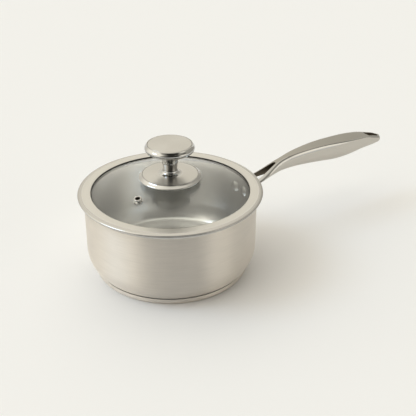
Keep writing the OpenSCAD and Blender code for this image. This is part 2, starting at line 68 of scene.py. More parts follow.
SEAL_DEPTH = 0.00005

Point = tuple[float, float]
Corner = tuple[float, ...]
Colour = tuple[float, float, float]


class Body(Enum):
    """The two rigid bodies of the saucepan."""

    PAN = "pan"
    LID = "lid"


class Run(Enum):
    """Ways that brush lines run on a finish."""

    ROUND = "round"
    ALONG = "along"


# ---------------------------------------------------------------- outlines


def arc(cr: float, cz: float, radius: float, start: float, end: float, steps: int) -> list[Point]:
    """Points of an arc.

    Args:
        cr: Distance of the arc's centre from the axis.
        cz: Height of the arc's centre.
        radius: Radius of the arc.
        start: First angle, in degrees.
        end: Last angle, in degrees.
        steps: Number of equal steps between them.

    Returns:
        The points from start to end, both included.
    """
    turns = [math.radians(start + (end - start) * i / steps) for i in range(steps + 1)]
    return [(cr + radius * math.cos(a), cz + radius * math.sin(a)) for a in turns]


def eased(corners: Sequence[Corner], steps: int = 6) -> list[Point]:
    """Rounds the corners of a closed outline.

    Args:
        corners: Points (r, z) or (r, z, ease), where ease is how far the rounding starts from
            the corner.
        steps: Steps in each rounded corner.

    Returns:
        The outline's points, with a support point beside each rounded corner.
    """
    out: list[Point] = []
    count = len(corners)
    for i, corner in enumerate(corners):
        here = Vector(corner[:2])
        ease = corner[2] if len(corner) > 2 else 0.0
        if ease <= 0:
            out.append((here.x, here.y))
            continue
        before = Vector(corners[i - 1][:2]) - here
        after = Vector(corners[(i + 1) % count][:2]) - here
        reach = min(ease, EASE_REACH * before.length, EASE_REACH * after.length)
        a, b = here + before.normalized() * reach, here + after.normalized() * reach
        out.append(tuple(a + before.normalized() * EASE_SUPPORT * reach))
        for k in range(steps + 1):
            t = k / steps
            p = a * (1 - t) ** 2 + here * 2 * t * (1 - t) + b * t**2
            out.append((p.x, p.y))
        out.append(tuple(b + after.normalized() * EASE_SUPPORT * reach))
    return out


def flowing(points: Sequence[Point], steps: int = 6) -> list[Point]:
    """Smooth line through points.

    Args:
        points: Points (r, z) that the line passes through.
        steps: Steps between two of them.

    Returns:
        The line's points, both ends included.
    """
    out: list[Point] = []
    last = len(points) - 1
    for i in range(last):
        p0, p1 = Vector(points[max(i - 1, 0)]), Vector(points[i])
        p2, p3 = Vector(points[i + 1]), Vector(points[min(i + 2, last)])
        for k in range(steps):
            t = k / steps
            p = 0.5 * (
                2 * p1
                + (p2 - p0) * t
                + (2 * p0 - 5 * p1 + 4 * p2 - p3) * t * t
                + (3 * p1 - p0 - 3 * p2 + p3) * t**3
            )
            out.append((p.x, p.y))
    out.append(tuple(points[last]))
    return out


def divided(outline: Sequence[Point], longest: float) -> list[Point]:
    """Splits the long sides of a closed outline.

    Args:
        outline: Points of the outline.
        longest: The longest side that is left whole.

    Returns:
        The outline's points with equal steps along each long side.
    """
    out: list[Point] = []
    for i, p in enumerate(outline):
        q = outline[(i + 1) % len(outline)]
        parts = max(1, math.ceil(math.dist(p, q) / longest - 1e-6))
        out.extend((p[0] + (q[0] - p[0]) * k / parts, p[1] + (q[1] - p[1]) * k / parts) for k in range(parts))
    return out


# ---------------------------------------------------------------- meshes


def smooth(mesh: bpy.types.Mesh, angle: float = SHARP_ANGLE) -> bpy.types.Mesh:
    """Shades a mesh smooth and keeps its folds.

    Args:
        mesh: The mesh.
        angle: Folds past this angle stay sharp, in radians.

    Returns:
        The mesh.
    """
    mesh.polygons.foreach_set("use_smooth", [True] * len(mesh.polygons))
    mesh.set_sharp_from_angle(angle=angle)
    return mesh


def cut_out(piece: bpy.types.Object, tool: bpy.types.Object, angle: float = SHARP_ANGLE) -> None:
    """Cuts the shape of a tool out of a piece, then removes the tool.

    Args:
        piece: The piece that is cut.
        tool: The closed shape that is taken away.
        angle: Folds past this angle stay sharp, in radians.
    """
    cut = piece.modifiers.new("cut", "BOOLEAN")
    cut.operation, cut.solver, cut.object = "DIFFERENCE", "EXACT", tool
    ready = piece.evaluated_get(bpy.context.evaluated_depsgraph_get())
    mesh = smooth(bpy.data.meshes.new_from_object(ready), angle)
    piece.modifiers.clear()
    piece.data = mesh
    bpy.data.objects.remove(tool)


def mesh_object(
    name: str, verts: Sequence[Sequence[float]], faces: Sequence[Sequence[int]]
) -> bpy.types.Object:
    """Makes an object at the origin from points in metres.

    Args:
        name: Name of the piece.
        verts: Points of the mesh.
        faces: Indices of each face's points.

    Returns:
        The linked object, smooth with sharp folds kept.
    """
    mesh = bpy.data.meshes.new(name)
    mesh.from_pydata([tuple(v) for v in verts], [], [tuple(f) for f in faces])
    mesh.validate()
    made = bpy.data.objects.new(name, smooth(mesh))
    bpy.context.scene.collection.objects.link(made)
    return made


def turned(
    name: str,
    outline: Sequence[Point],
    steps: int = TURN_STEPS,
    place: Matrix | None = None,
    longest: float = 2.5,
) -> bpy.types.Object:
    """Turns a closed outline about the Z axis.

    Args:
        name: Name of the piece.
        outline: Points (r, z) in millimetres.
        steps: Steps round the axis.
        place: Where the piece goes, in metres; None leaves it on the origin's axis.
        longest: Longest side of the outline that isn't split.

    Returns:
        The closed, smooth piece.
    """
    line = divided(outline, longest)
    area = sum(p[0] * q[1] - q[0] * p[1] for p, q in zip(line, line[1:] + line[:1]))
    if area < 0:
        line = line[::-1]
    place = place or Matrix.Identity(4)
    verts: list[Vector] = []
    rings: list[list[int]] = []
    for r, z in line:
        first = len(verts)
        if r < 1e-5:
            verts.append(place @ Vector((0, 0, z * MM)))
            rings.append([first] * steps)
            continue
        for k in range(steps):
            a = 2 * math.pi * k / steps
            verts.append(place @ Vector((r * MM * math.cos(a), r * MM * math.sin(a), z * MM)))
        rings.append(list(range(first, first + steps)))
    faces: list[tuple[int, ...]] = []
    for ring, over in zip(rings, rings[1:] + rings[:1]):
        if ring[0] == ring[1] and over[0] == over[1]:
            continue
        for k in range(steps):
            n = (k + 1) % steps
            corners = (ring[k], ring[n], over[n], over[k])
            faces.append(tuple(dict.fromkeys(corners)))
    return mesh_object(name, verts, faces)


def paint(
    piece: bpy.types.Object, finishes: Sequence[bpy.types.Material],
    pick: Callable[[Vector, Vector], int] | None = None
) -> None:
    """Gives a piece its materials.

    Args:
        piece: The piece.
        finishes: Its materials, in the order of its slots.
        pick: Chooses a face's slot from its centre in millimetres and its normal; None uses
            the first.
    """
    mesh = piece.data
    mesh.materials.clear()
    for finish in finishes:
        mesh.materials.append(finish)
    for face in mesh.polygons:
        face.material_index = pick(face.center / MM, face.normal) if pick else 0


def fit(piece: bpy.types.Object, body: Body, slot: str, *nodes: str) -> bpy.types.Object:
    """Puts a finished piece in the frame.

    Args:
        piece: The piece, in place.
        body: The body that it moves with.
        slot: The record's material slot of its finish; not used.
        nodes: The CAD nodes that it stands for.

    Returns:
        The piece.
    """
    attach(piece, body.value)
    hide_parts(*nodes)
    LOG.info("%s: %d faces, rides on %s", piece.name, len(piece.data.polygons), body.value)
    return piece


# ---------------------------------------------------------------- shader groups


class Effects:
    """Shader groups that several finishes share."""

    def __init__(self) -> None:
        """Builds the groups."""
        self.round_lines = self._lines(Run.ROUND)
        self.long_lines = self._lines(Run.ALONG)
        self.handling = self._handling()

    @staticmethod
    def _group(name: str, inputs: dict[str, float], outputs: Sequence[str]) -> bpy.types.ShaderNodeTree:
        """Makes an empty group.

        Args:
            name: Name of the group.
            inputs: Names and defaults of its number inputs.
            outputs: Names of its number outputs.

        Returns:
            The group, with its input and output nodes.
        """
        tree = bpy.data.node_groups.new(name, "ShaderNodeTree")
        for label, value in inputs.items():
            socket = tree.interface.new_socket(label, in_out="INPUT", socket_type="NodeSocketFloat")
            socket.default_value = value
        for label in outputs:
            tree.interface.new_socket(label, in_out="OUTPUT", socket_type="NodeSocketFloat")
        tree.nodes.new("NodeGroupInput").name = "in"
        tree.nodes.new("NodeGroupOutput").name = "out"
        return tree

    @staticmethod
    def math(
        tree: bpy.types.NodeTree, operation: str, a: object, b: object = 0.0, c: object = 0.0
    ) -> bpy.types.NodeSocket:
        """Adds a math node.

        Args:
            tree: Tree that the node goes in.
            operation: Blender's name of the operation.
            a: First socket or number.
            b: Second socket or number.
            c: Third socket or number.

        Returns:
            The node's output.
        """
        node = tree.nodes.new("ShaderNodeMath")
        node.operation = operation
        for socket, value in zip(node.inputs, (a, b, c)):
            if isinstance(value, (int, float)):
                socket.default_value = value
            else:
                tree.links.new(value, socket)
        return node.outputs[0]

    @staticmethod
    def tone(tree: bpy.types.NodeTree, factor: bpy.types.NodeSocket, low: Colour, high: Colour) -> None:
        """Mixes two tints into the base colour.

        Args:
            tree: The material's tree.
            factor: Share of the second tint.
            low: First tint.
            high: Second tint.
        """
        mix = tree.nodes.new("ShaderNodeMix")
        mix.data_type = "RGBA"
        mix.inputs["A"].default_value = (*low, 1.0)
        mix.inputs["B"].default_value = (*high, 1.0)
        tree.links.new(factor, mix.inputs["Factor"])
        tree.links.new(mix.outputs["Result"], tree.nodes["Principled BSDF"].inputs["Base Color"])

    @staticmethod
    def relief(tree: bpy.types.NodeTree, height: bpy.types.NodeSocket, strength: float, depth: float) -> None:
        """Roughens the surface.

        Args:
            tree: The material's tree.
            height: Height of the surface.
            strength: How strongly it shows.
            depth: Height of a full step, in metres.
        """
        bump = tree.nodes.new("ShaderNodeBump")
        bump.inputs["Strength"].default_value = strength
        bump.inputs["Distance"].default_value = depth
        tree.links.new(height, bump.inputs["Height"])
        tree.links.new(bump.outputs[0], tree.nodes["Principled BSDF"].inputs["Normal"])

    def _lines(self, run: Run) -> bpy.types.ShaderNodeTree:
        """Brush lines that run round the Z axis or along the X axis.

        Args:
            run: Which way the lines run.

        Returns:
            A group with a fine and a broad value, both about 0.5 on average.
        """
        tree = self._group(
            f"lines_{run.value}", {"Fineness": 2500.0, "Length": 6.0, "Broad": 220.0}, ("Fine", "Broad")
        )
        nodes, links, math_node = tree.nodes, tree.links, self.math
        source, sink = nodes["in"], nodes["out"]
        place = nodes.new("ShaderNodeTexCoord")
        split = nodes.new("ShaderNodeSeparateXYZ")
        links.new(place.outputs["Object"], split.inputs[0])
        x, y, z = split.outputs
        if run is Run.ROUND:
            squares = math_node(
                tree, "ADD", math_node(tree, "MULTIPLY", x, x), math_node(tree, "MULTIPLY", y, y)
            )
            radius = math_node(tree, "MAXIMUM", math_node(tree, "SQRT", squares), 1e-5)
            first = math_node(tree, "DIVIDE", x, radius)
            second = math_node(tree, "DIVIDE", y, radius)
            depth = math_node(tree, "ADD", z, radius)
        else:
            first, second, depth = math_node(tree, "MULTIPLY", x, 9.0), 0.0, None
        for label, output in (("Fineness", "Fine"), ("Broad", "Broad")):
            join = nodes.new("ShaderNodeCombineXYZ")
            noise = nodes.new("ShaderNodeTexNoise")
            scale = source.outputs[label]
            length = source.outputs["Length"]
            if depth is not None:
                noise.noise_dimensions = "4D"
                links.new(math_node(tree, "MULTIPLY", first, length), join.inputs[0])
                links.new(math_node(tree, "MULTIPLY", second, length), join.inputs[1])
                links.new(math_node(tree, "MULTIPLY", z, scale), join.inputs[2])
                links.new(math_node(tree, "MULTIPLY", radius, scale), noise.inputs["W"])
            else:
                links.new(math_node(tree, "MULTIPLY", first, length), join.inputs[0])
                links.new(math_node(tree, "MULTIPLY", y, scale), join.inputs[1])
                links.new(math_node(tree, "MULTIPLY", z, scale), join.inputs[2])
            links.new(join.outputs[0], noise.inputs["Vector"])
            noise.inputs["Scale"].default_value = 1.0
            noise.inputs["Detail"].default_value = 3.0
            noise.inputs["Roughness"].default_value = 0.6
            links.new(noise.outputs[0], sink.inputs[output])
        return tree

    def _handling(self) -> bpy.types.ShaderNodeTree:
        """Soft marks left by wiping and handling.

        Returns:
            A group with a value about 0.5 on average.
        """
        tree = self._group("handling_marks", {"Size": 45.0}, ("Marks",))
        nodes, links = tree.nodes, tree.links
        place = nodes.new("ShaderNodeTexCoord")
        noise = nodes.new("ShaderNodeTexNoise")
        links.new(place.outputs["Object"], noise.inputs["Vector"])
        links.new(nodes["in"].outputs["Size"], noise.inputs["Scale"])
        noise.inputs["Detail"].default_value = 4.0
        noise.inputs["Roughness"].default_value = 0.55
        noise.inputs["Distortion"].default_value = 0.6
        links.new(noise.outputs[0], nodes["out"].inputs["Marks"])
        return tree


# ---------------------------------------------------------------- finishes


@dataclass(frozen=True)
class Metal:
    """A metal finish with brush lines and handling marks."""

    name: str
    tint: Colour
    shade: float
    roughness: float
    spread: float
    grain: float
    fineness: float = 2500.0
    length: float = 6.0
    run: Run = Run.ROUND
    stretch: float = 0.0
    stretch_turn: float = 0.0

    def build(self, effects: Effects) -> bpy.types.Material:
        """Builds the material.

        Args:
            effects: The shared shader groups.

        Returns:
            The material.
        """
        material = bpy.data.materials.new(self.name)
        material.use_nodes = True
        tree = material.node_tree
        nodes, links = tree.nodes, tree.links
        skin = nodes["Principled BSDF"]
        skin.inputs["Metallic"].default_value = 1.0
        lines = nodes.new("ShaderNodeGroup")
        lines.node_tree = effects.round_lines if self.run is Run.ROUND else effects.long_lines
        lines.inputs["Fineness"].default_value = self.fineness
        lines.inputs["Length"].default_value = self.length
        lines.inputs["Broad"].default_value = self.fineness * BROAD_SCALE
        marks = nodes.new("ShaderNodeGroup")
        marks.node_tree = effects.handling
        fine, broad = lines.outputs["Fine"], lines.outputs["Broad"]
        coarse = effects.math(tree, "MULTIPLY", broad, 1 - FINE_SHARE)
        mixed = effects.math(tree, "MULTIPLY_ADD", fine, FINE_SHARE, coarse)
        effects.tone(tree, mixed, tuple(c * self.shade for c in self.tint), self.tint)
        half_marks = effects.math(tree, "MULTIPLY", marks.outputs["Marks"], 0.5)
        both = effects.math(tree, "MULTIPLY_ADD", broad, 0.5, half_marks)
        rough = effects.math(tree, "MULTIPLY_ADD", both, 2 * self.spread, self.roughness - self.spread)
        links.new(rough, skin.inputs["Roughness"])
        effects.relief(tree, fine, self.grain, BRUSH_DEPTH)
        if self.stretch:
            skin.inputs["Anisotropic"].default_value = self.stretch
            skin.inputs["Anisotropic Rotation"].default_value = self.stretch_turn
            tangent = nodes.new("ShaderNodeTangent")
            tangent.direction_type = "RADIAL"
            tangent.axis = "Z"
            links.new(tangent.outputs[0], skin.inputs["Tangent"])
        return material


@dataclass(frozen=True)
class Glass:
    """Clear tempered glass with a breath of tint."""

    name: str
    tint: Colour
    shade: float = 0.985
    index: float = 1.5
    mark_size: float = 30.0
    cloud: float = 0.05

    def build(self, effects: Effects) -> bpy.types.Material:
        """Builds the material.

        Args:
            effects: The shared shader groups.

        Returns:
            The material.
        """
        material = bpy.data.materials.new(self.name)
        material.use_nodes = True
        tree = material.node_tree
        nodes, links = tree.nodes, tree.links
        skin = nodes["Principled BSDF"]
        skin.inputs["Transmission Weight"].default_value = 1.0
        skin.inputs["IOR"].default_value = self.index
        marks = nodes.new("ShaderNodeGroup")
        marks.node_tree = effects.handling
        marks.inputs["Size"].default_value = self.mark_size
        effects.tone(tree, marks.outputs["Marks"], tuple(c * self.shade for c in self.tint), self.tint)
        rough = effects.math(
            tree, "MULTIPLY", effects.math(tree, "POWER", marks.outputs["Marks"], 3.0), self.cloud
        )
        links.new(rough, skin.inputs["Roughness"])
        return material


@dataclass(frozen=True)
class Rubber:
    """Soft matt seal."""

    name: str
    tint: Colour
    spread: float = 0.3
    roughness: float = 0.45
    mark_size: float = 400.0
    grain: float = 0.15

    def build(self, effects: Effects) -> bpy.types.Material:
        """Builds the material.

        Args:
            effects: The shared shader groups.

        Returns:
            The material.
        """
        material = bpy.data.materials.new(self.name)
        material.use_nodes = True
        tree = material.node_tree
        nodes, links = tree.nodes, tree.links
        skin = nodes["Principled BSDF"]
        marks = nodes.new("ShaderNodeGroup")
        marks.node_tree = effects.handling
        marks.inputs["Size"].default_value = self.mark_size
        low, high = (tuple(c * (1 + way * self.spread) for c in self.tint) for way in (-1, 1))
        effects.tone(tree, marks.outputs["Marks"], low, high)
        rough = effects.math(tree, "MULTIPLY_ADD", marks.outputs["Marks"], 0.2, self.roughness)
        links.new(rough, skin.inputs["Roughness"])
        effects.relief(tree, marks.outputs["Marks"], self.grain, SEAL_DEPTH)
        return material


@dataclass
class Finishes:
    """Every finish of the saucepan."""

    effects: Effects = field(default_factory=Effects)
    made: dict[str, bpy.types.Material] = field(default_factory=dict)

    def build(self) -> None:
        """Builds all materials."""
        steel = (0.84, 0.79, 0.725)
        cast = (0.61, 0.58, 0.53)
        # Darker copy of the cast colour for the handle's top facet: painted shade from how the light falls on
        # it.
        cast_top_painted_shade = (0.37, 0.355, 0.325)
        plate = (0.58, 0.565, 0.54)
        # Near-black used as painted shade in seams and bores.
        bright = (0.50, 0.495, 0.485)
        dark = (0.05, 0.044, 0.036)
        for finish in (
            Metal("wall_satin", steel, 0.72, 0.42, 0.06, 0.5, 1500, 3, Run.ROUND, 0.95, 0.25),
            Metal(
                "inside_satin", (0.88, 0.875, 0.865), 0.80, 0.30, 0.06, 0.25, 1800, 4, Run.ROUND, 0.45, 0.25
            ),
            Metal("rivet_satin", (0.60, 0.59, 0.565), 0.93, 0.38, 0.05, 0.15, 2200, 5),
            Metal("rim_satin", (0.50, 0.49, 0.475), 0.95, 0.07, 0.03, 0.03, 3000, 7),
            Metal("band_satin", (0.66, 0.645, 0.615), 0.82, 0.38, 0.04, 0.3, 1800, 4, Run.ROUND, 0.15, 0.25),
            Metal("knob_satin", plate, 0.84, 0.32, 0.04, 0.3, 1800, 4, Run.ROUND, 0.6, 0.25),
            Metal("knob_polish", bright, 0.97, 0.03, 0.02, 0.0, 2500, 5),
            Metal("handle_satin", cast, 0.84, 0.36, 0.04, 0.4, 1500, 1.0, Run.ALONG),
            # The handle's top facet: the cast finish darkened as painted shade.
            Metal("handle_top_painted_shade", cast_top_painted_shade, 0.8, 0.33, 0.04, 0.4, 1500, 1.0, Run.ALONG),
            Metal("handle_polish", bright, 0.96, 0.12, 0.03, 0.06, 2200, 1.2, Run.ALONG),
            # Dark brown for the walls of the slot and the eye: painted shade in the openings.
            Metal("handle_opening_painted_shade", (0.16, 0.135, 0.105), 0.7, 0.5, 0.06, 0.3, 1200, 1.2, Run.ALONG),
            Metal("base_satin", steel, 0.88, 0.36, 0.05, 0.2, 2600, 5, Run.ROUND, 0.8, 0.25),
            # Near-black metal for the knob's seam grooves and the vent's bore: painted shade.
            Metal("seam_shade", dark, 0.8, 0.5, 0.05, 0.1),
            Metal("core_aluminium", (0.62, 0.62, 0.62), 0.85, 0.5, 0.06, 0.2),
            Metal("insert_brass", (0.72, 0.55, 0.27), 0.9, 0.3, 0.05, 0.2),
            Glass("lid_glass", (0.955, 0.965, 0.955)),
            Rubber("soft_seal", (0.02, 0.02, 0.02)),
        ):
            self.made[finish.name] = finish.build(self.effects)

    def __getitem__(self, name: str) -> bpy.types.Material:
        """The material of that name."""
        return self.made[name]


# ---------------------------------------------------------------- the pan


@dataclass
class Pan:
    """Drawn steel pan with its disc base."""

    wall_r: float = 82.0
    rim_z: float = 79.0
    wall_t: float = 0.8
    corner_r: float = 30.0
    floor_r: float = 8.0
    flare_r: float = 4.0
    lip_w: float = 1.0
    base_h: float = 5.0
    cap_r: float = 74.0
    cap_t: float = 0.6
    cap_edge: float = 1.6
    floor_inset: float = 4.2
    gap: float = 0.05

    def line(self, depth: float) -> list[Point]:
        """Line of the floor and wall inside the sheet.

        Args:
            depth: Distance from the sheet's outside face.

        Returns:
            Points from the middle of the floor out to the lip.
        """
        edge = self.cap_r - self.floor_inset
        run = edge - (self.wall_r - self.corner_r)
        rise = math.sqrt((self.corner_r - self.floor_r) ** 2 - run**2)
        turn = math.degrees(math.atan2(rise, run))
        flare_z = self.rim_z - self.wall_t - self.flare_r
        return [
            (0, self.base_h + depth),
            *arc(edge, self.base_h + self.floor_r, self.floor_r - depth, -90, -turn, 12),
            *arc(
                self.wall_r - self.corner_r, self.base_h + self.floor_r + rise, self.corner_r - depth,
                -turn, 0, 28
            )[1:],
            *arc(self.wall_r + self.flare_r, flare_z, self.flare_r + depth, 180, 90, 14),
        ]

    def build_body(self, finishes: Finishes) -> bpy.types.Object:
        """Drawn body with a rounded pouring lip.

        Args:
            finishes: The saucepan's finishes.

        Returns:
            The piece.
        """
        half = self.wall_t / 2
        lip = arc(self.wall_r + self.flare_r + self.lip_w - half, self.rim_z - half, half, -90, 90, 8)
        outline = [*self.line(0), *lip, *self.line(self.wall_t)[::-1]]
        piece = turned("pan_body_steel", outline, longest=1.5)

        def side(centre: Vector, normal: Vector) -> int:
            """Chooses a face's finish.

            Args:
                centre: The face's centre, in millimetres.
                normal: The face's normal.

            Returns:
                0 outside, 1 inside and 2 on the lip.
            """
            if centre.z > self.rim_z - self.wall_t - self.flare_r:
                return 2
            radial = normal.x * centre.x + normal.y * centre.y
            return 1 if radial < 0 or normal.z > 0.5 else 0

        paint(piece, (finishes["wall_satin"], finishes["inside_satin"], finishes["rim_satin"]), side)
        return fit(piece, Body.PAN, "brushed_steel", "pan_body")

    def build_base(self, finishes: Finishes) -> None:
        """Steel cap and the aluminium disc inside it.

        Args:
            finishes: The saucepan's finishes.
        """
        edge, inner = self.cap_edge, self.cap_r - self.cap_t
        outline = [
            (0, 0),
            *arc(self.cap_r - edge, edge, edge, -90, 0, 10),
            *eased([(self.cap_r, self.base_h, 0.25), (inner, self.base_h, 0.2)], 4),
            (inner, self.cap_t),
            (0, self.cap_t),
        ]
        cap = turned("base_cap_steel", outline)
        paint(cap, (finishes["base_satin"],))
        fit(cap, Body.PAN, "brushed_steel", "base_cap")
        core_r = inner - self.gap
        core = turned(
            "base_core_disc",
            [(0, self.cap_t), (core_r, self.cap_t), (core_r, self.base_h), (0, self.base_h)]
        )
        paint(core, (finishes["core_aluminium"],))
        fit(core, Body.PAN, "core_aluminium", "base_core")

    def build(self, finishes: Finishes) -> None:
        """Builds the body and the base.

        Args:
            finishes: The saucepan's finishes.
        """
        self.build_body(finishes)
        self.build_base(finishes)


# ---------------------------------------------------------------- the handle


@dataclass
class Handle:
    """Cast handle with a forked root, a flat top between polished bevels and a hanging eye."""

    wall_r: float = 82.0
    rivet_z: float = 57.0
    length: float = 190.5
    fork: float = 44.0
    leg_rise: float = 7.4
    neck_rise: float = 19.0
    crown_rise: float = 25.8
    end_drop: float = 10.3
    leg_h: float = 3.9
    neck_h: float = 11.2
    grip_h: float = 20.5
    tip_h: float = 5.5
    root_w: float = 24.5
    neck_w: float = 9.8
    grip_w: float = 21.2
    end_w: float = 16.0
    leg_w: float = 4.0
    eye_wall: float = 2.8
    eye_len: float = 17.0
    bevel_w: float = 1.6
    bevel_h: float = 3.4
    slot_r: float = 1.8
    foot_t: float = 3.0
    foot_h: float = 14.5
    foot_r: float = 3.0
    foot_low: float = 6.3
    foot_ease: float = 0.5
    gap: float = 0.05
    spacing: float = 1.6
    eye_ease: float = 0.6
    closed: float = 1e-3
    edge_left: float = 0.3
    top_parts: int = 7
    bevel_parts: int = 7
    cheek_parts: int = 22
    wall_parts: int = 6

    def __post_init__(self) -> None:
        """Works out the lines that the handle follows."""
        grip = self.length - self.fork
        self.end_x = self.length - self.end_w / 2

        def on_fork(share: float) -> float:
            """Place along the fork."""
            return share * self.fork

        def on_grip(share: float) -> float:
            """Place along the grip."""
            return self.fork + share * grip

        leg, neck, crown, drop = self.leg_rise, self.neck_rise, self.crown_rise, self.end_drop
        self.top_line: list[Point] = [
            (on_fork(0), leg),
            (on_fork(0.27), leg + 0.05 * (neck - leg)),
            (on_fork(0.52), leg + 0.25 * (neck - leg)),
            (on_fork(1), neck),
            (on_grip(0.09), neck + 0.52 * (crown - neck)),
            (on_grip(0.2), neck + 0.84 * (crown - neck)),
            (on_grip(0.37), crown),
            (on_grip(0.55), crown - 0.08 * drop),
            (on_grip(0.72), crown - 0.23 * drop),
            (on_grip(0.86), crown - 0.5 * drop),
            (on_grip(1), crown - drop),
        ]
        self.depth_line: list[Point] = [
            (on_fork(0), self.leg_h),
            (on_fork(0.52), self.leg_h + 0.18 * (self.neck_h - self.leg_h)),
            (on_fork(1), self.neck_h),
            (on_grip(0.2), self.neck_h + 0.5 * (self.grip_h - self.neck_h)),
            (on_grip(0.5), self.grip_h),
            (on_grip(0.64), self.tip_h + 0.93 * (self.grip_h - self.tip_h)),
            (on_grip(0.78), self.tip_h + 0.65 * (self.grip_h - self.tip_h)),
            (on_grip(0.9), self.tip_h + 0.38 * (self.grip_h - self.tip_h)),
            (on_grip(1), self.tip_h),
        ]
        slim, wide, end = self.neck_w / 2, self.grip_w / 2, self.end_w / 2
        flare = self.root_w / 2 - slim
        self.width_line: list[Point] = [
            (on_fork(0), self.root_w / 2),
            (on_fork(0.5), slim + 0.62 * flare),
            (on_fork(1), slim + 0.1 * flare),
            (on_grip(0.07), slim),
            (on_grip(0.17), slim + 0.2 * (wide - slim)),
            (on_grip(0.4), slim + 0.7 * (wide - slim)),
            (on_grip(0.65), wide),
            (on_grip(0.78), end + 0.75 * (wide - end)),
            (self.end_x, end),
        ]
        leg_bevel, loop_bevel = self.leg_w - self.edge_left, self.eye_wall - self.edge_left
        loop_fall = 0.5 * self.eye_wall
        self.fall_line: list[Point] = [
            (on_fork(0), 0.35 * self.leg_h),
            (on_fork(1), self.bevel_h),
            (on_grip(0.45), self.bevel_h),
            (on_grip(0.66), 0.4 * self.bevel_h),
            (on_grip(0.83), 0.15 * self.bevel_h),
            (on_grip(0.89), loop_fall),
            (on_grip(1), loop_fall),
        ]
        self.bevel_line: list[Point] = [
            (on_fork(0), leg_bevel),
            (on_fork(0.6), leg_bevel),
            (on_fork(1), 0.5 * self.leg_w + 0.5 * self.bevel_w),
            (on_grip(0.13), self.bevel_w),
            (on_grip(0.83), self.bevel_w),
            (on_grip(0.89), loop_bevel),
            (on_grip(1), loop_bevel),
        ]

    @staticmethod
    def on_line(line: Sequence[Point], x: float) -> float:
        """Value on a smooth line.

        Args:
            line: Points (x, value) that the line passes through.
            x: Place along it.

        Returns:
            The value at x.
        """

        def slope(i: int) -> float:
            """Slope of the line at point i."""
            a, b = line[max(i - 1, 0)], line[min(i + 1, len(line) - 1)]
            return (b[1] - a[1]) / (b[0] - a[0])

        i = max([0] + [k for k in range(len(line) - 1) if x >= line[k][0]])
        w = line[i + 1][0] - line[i][0]
        h = (x - line[i][0]) / w
        return (
            (2 * h**3 - 3 * h**2 + 1) * line[i][1]
            + (h**3 - 2 * h**2 + h) * w * slope(i)
            + (3 * h**2 - 2 * h**3) * line[i + 1][1]
            + (h**3 - h**2) * w * slope(i + 1)
        )

    def half_width(self, x: float) -> float:
        """Half width of the handle, a half circle about end_x at the tip.

        Args:
            x: Distance from the pan's wall.

        Returns:
            The half width.
        """
        if x <= self.end_x:
            return self.on_line(self.width_line, x)
        share = min(1.0, (x - self.end_x) / (self.end_w / 2))
        return self.end_w / 2 * math.sqrt(max(0.0, 1 - share * share))

    def opening(self, x: float) -> float:
        """Half width of the slot or the eye.

        Args:
            x: Distance from the pan's wall.

        Returns:
            The half width, or 0 where the handle is solid.
        """
        slot_end = self.fork - self.slot_r
        if x <= slot_end:
            return max(self.slot_r, self.half_width(x) - self.leg_w)
        if x < self.fork:
            return math.sqrt(max(0.0, self.slot_r**2 - (x - slot_end) ** 2))
        eye_r = self.end_w / 2 - self.eye_wall
        out = self.length - self.eye_wall
        start, centre = out - self.eye_len, out - eye_r
        if start < x <= centre:
            left = 1 - min(1.0, (x - start) / self.eye_ease)
            return eye_r * min(1.0, math.sqrt(max(0.0, 1 - left**2)))
        if centre < x < out:
            return math.sqrt(max(0.0, eye_r**2 - (x - centre) ** 2))
        return 0.0

    def stations(self) -> list[float]:
        """Places of the cross-sections, close together where the slot, eye and tip turn.

        Returns:
            Distances from the pan's wall, in order.
        """
        eye_r = self.end_w / 2 - self.eye_wall
        out = self.length - self.eye_wall
        start, centre = out - self.eye_len, out - eye_r
        slot_end = self.fork - self.slot_r
        places = {self.foot_t / 2, slot_end, self.fork, start, centre, out, self.end_x, self.length}
        rows = int((self.end_x - self.foot_t) / self.spacing)
        places |= {self.foot_t / 2 + self.spacing * k for k in range(rows)}
        places |= {slot_end + self.slot_r * math.sin(math.radians(a)) for a in range(10, 90, 10)}
        places |= {start + self.eye_ease * (1 - math.cos(math.radians(a))) for a in range(15, 91, 15)}
        places |= {centre + eye_r * math.sin(math.radians(a)) for a in range(6, 90, 6)}
        places |= {self.end_x + self.end_w / 2 * math.sin(math.radians(a)) for a in range(4, 90, 4)}
        kept: list[float] = []
        for x in sorted(places):
            if not kept or x - kept[-1] > 0.02:
                kept.append(x)
        return kept

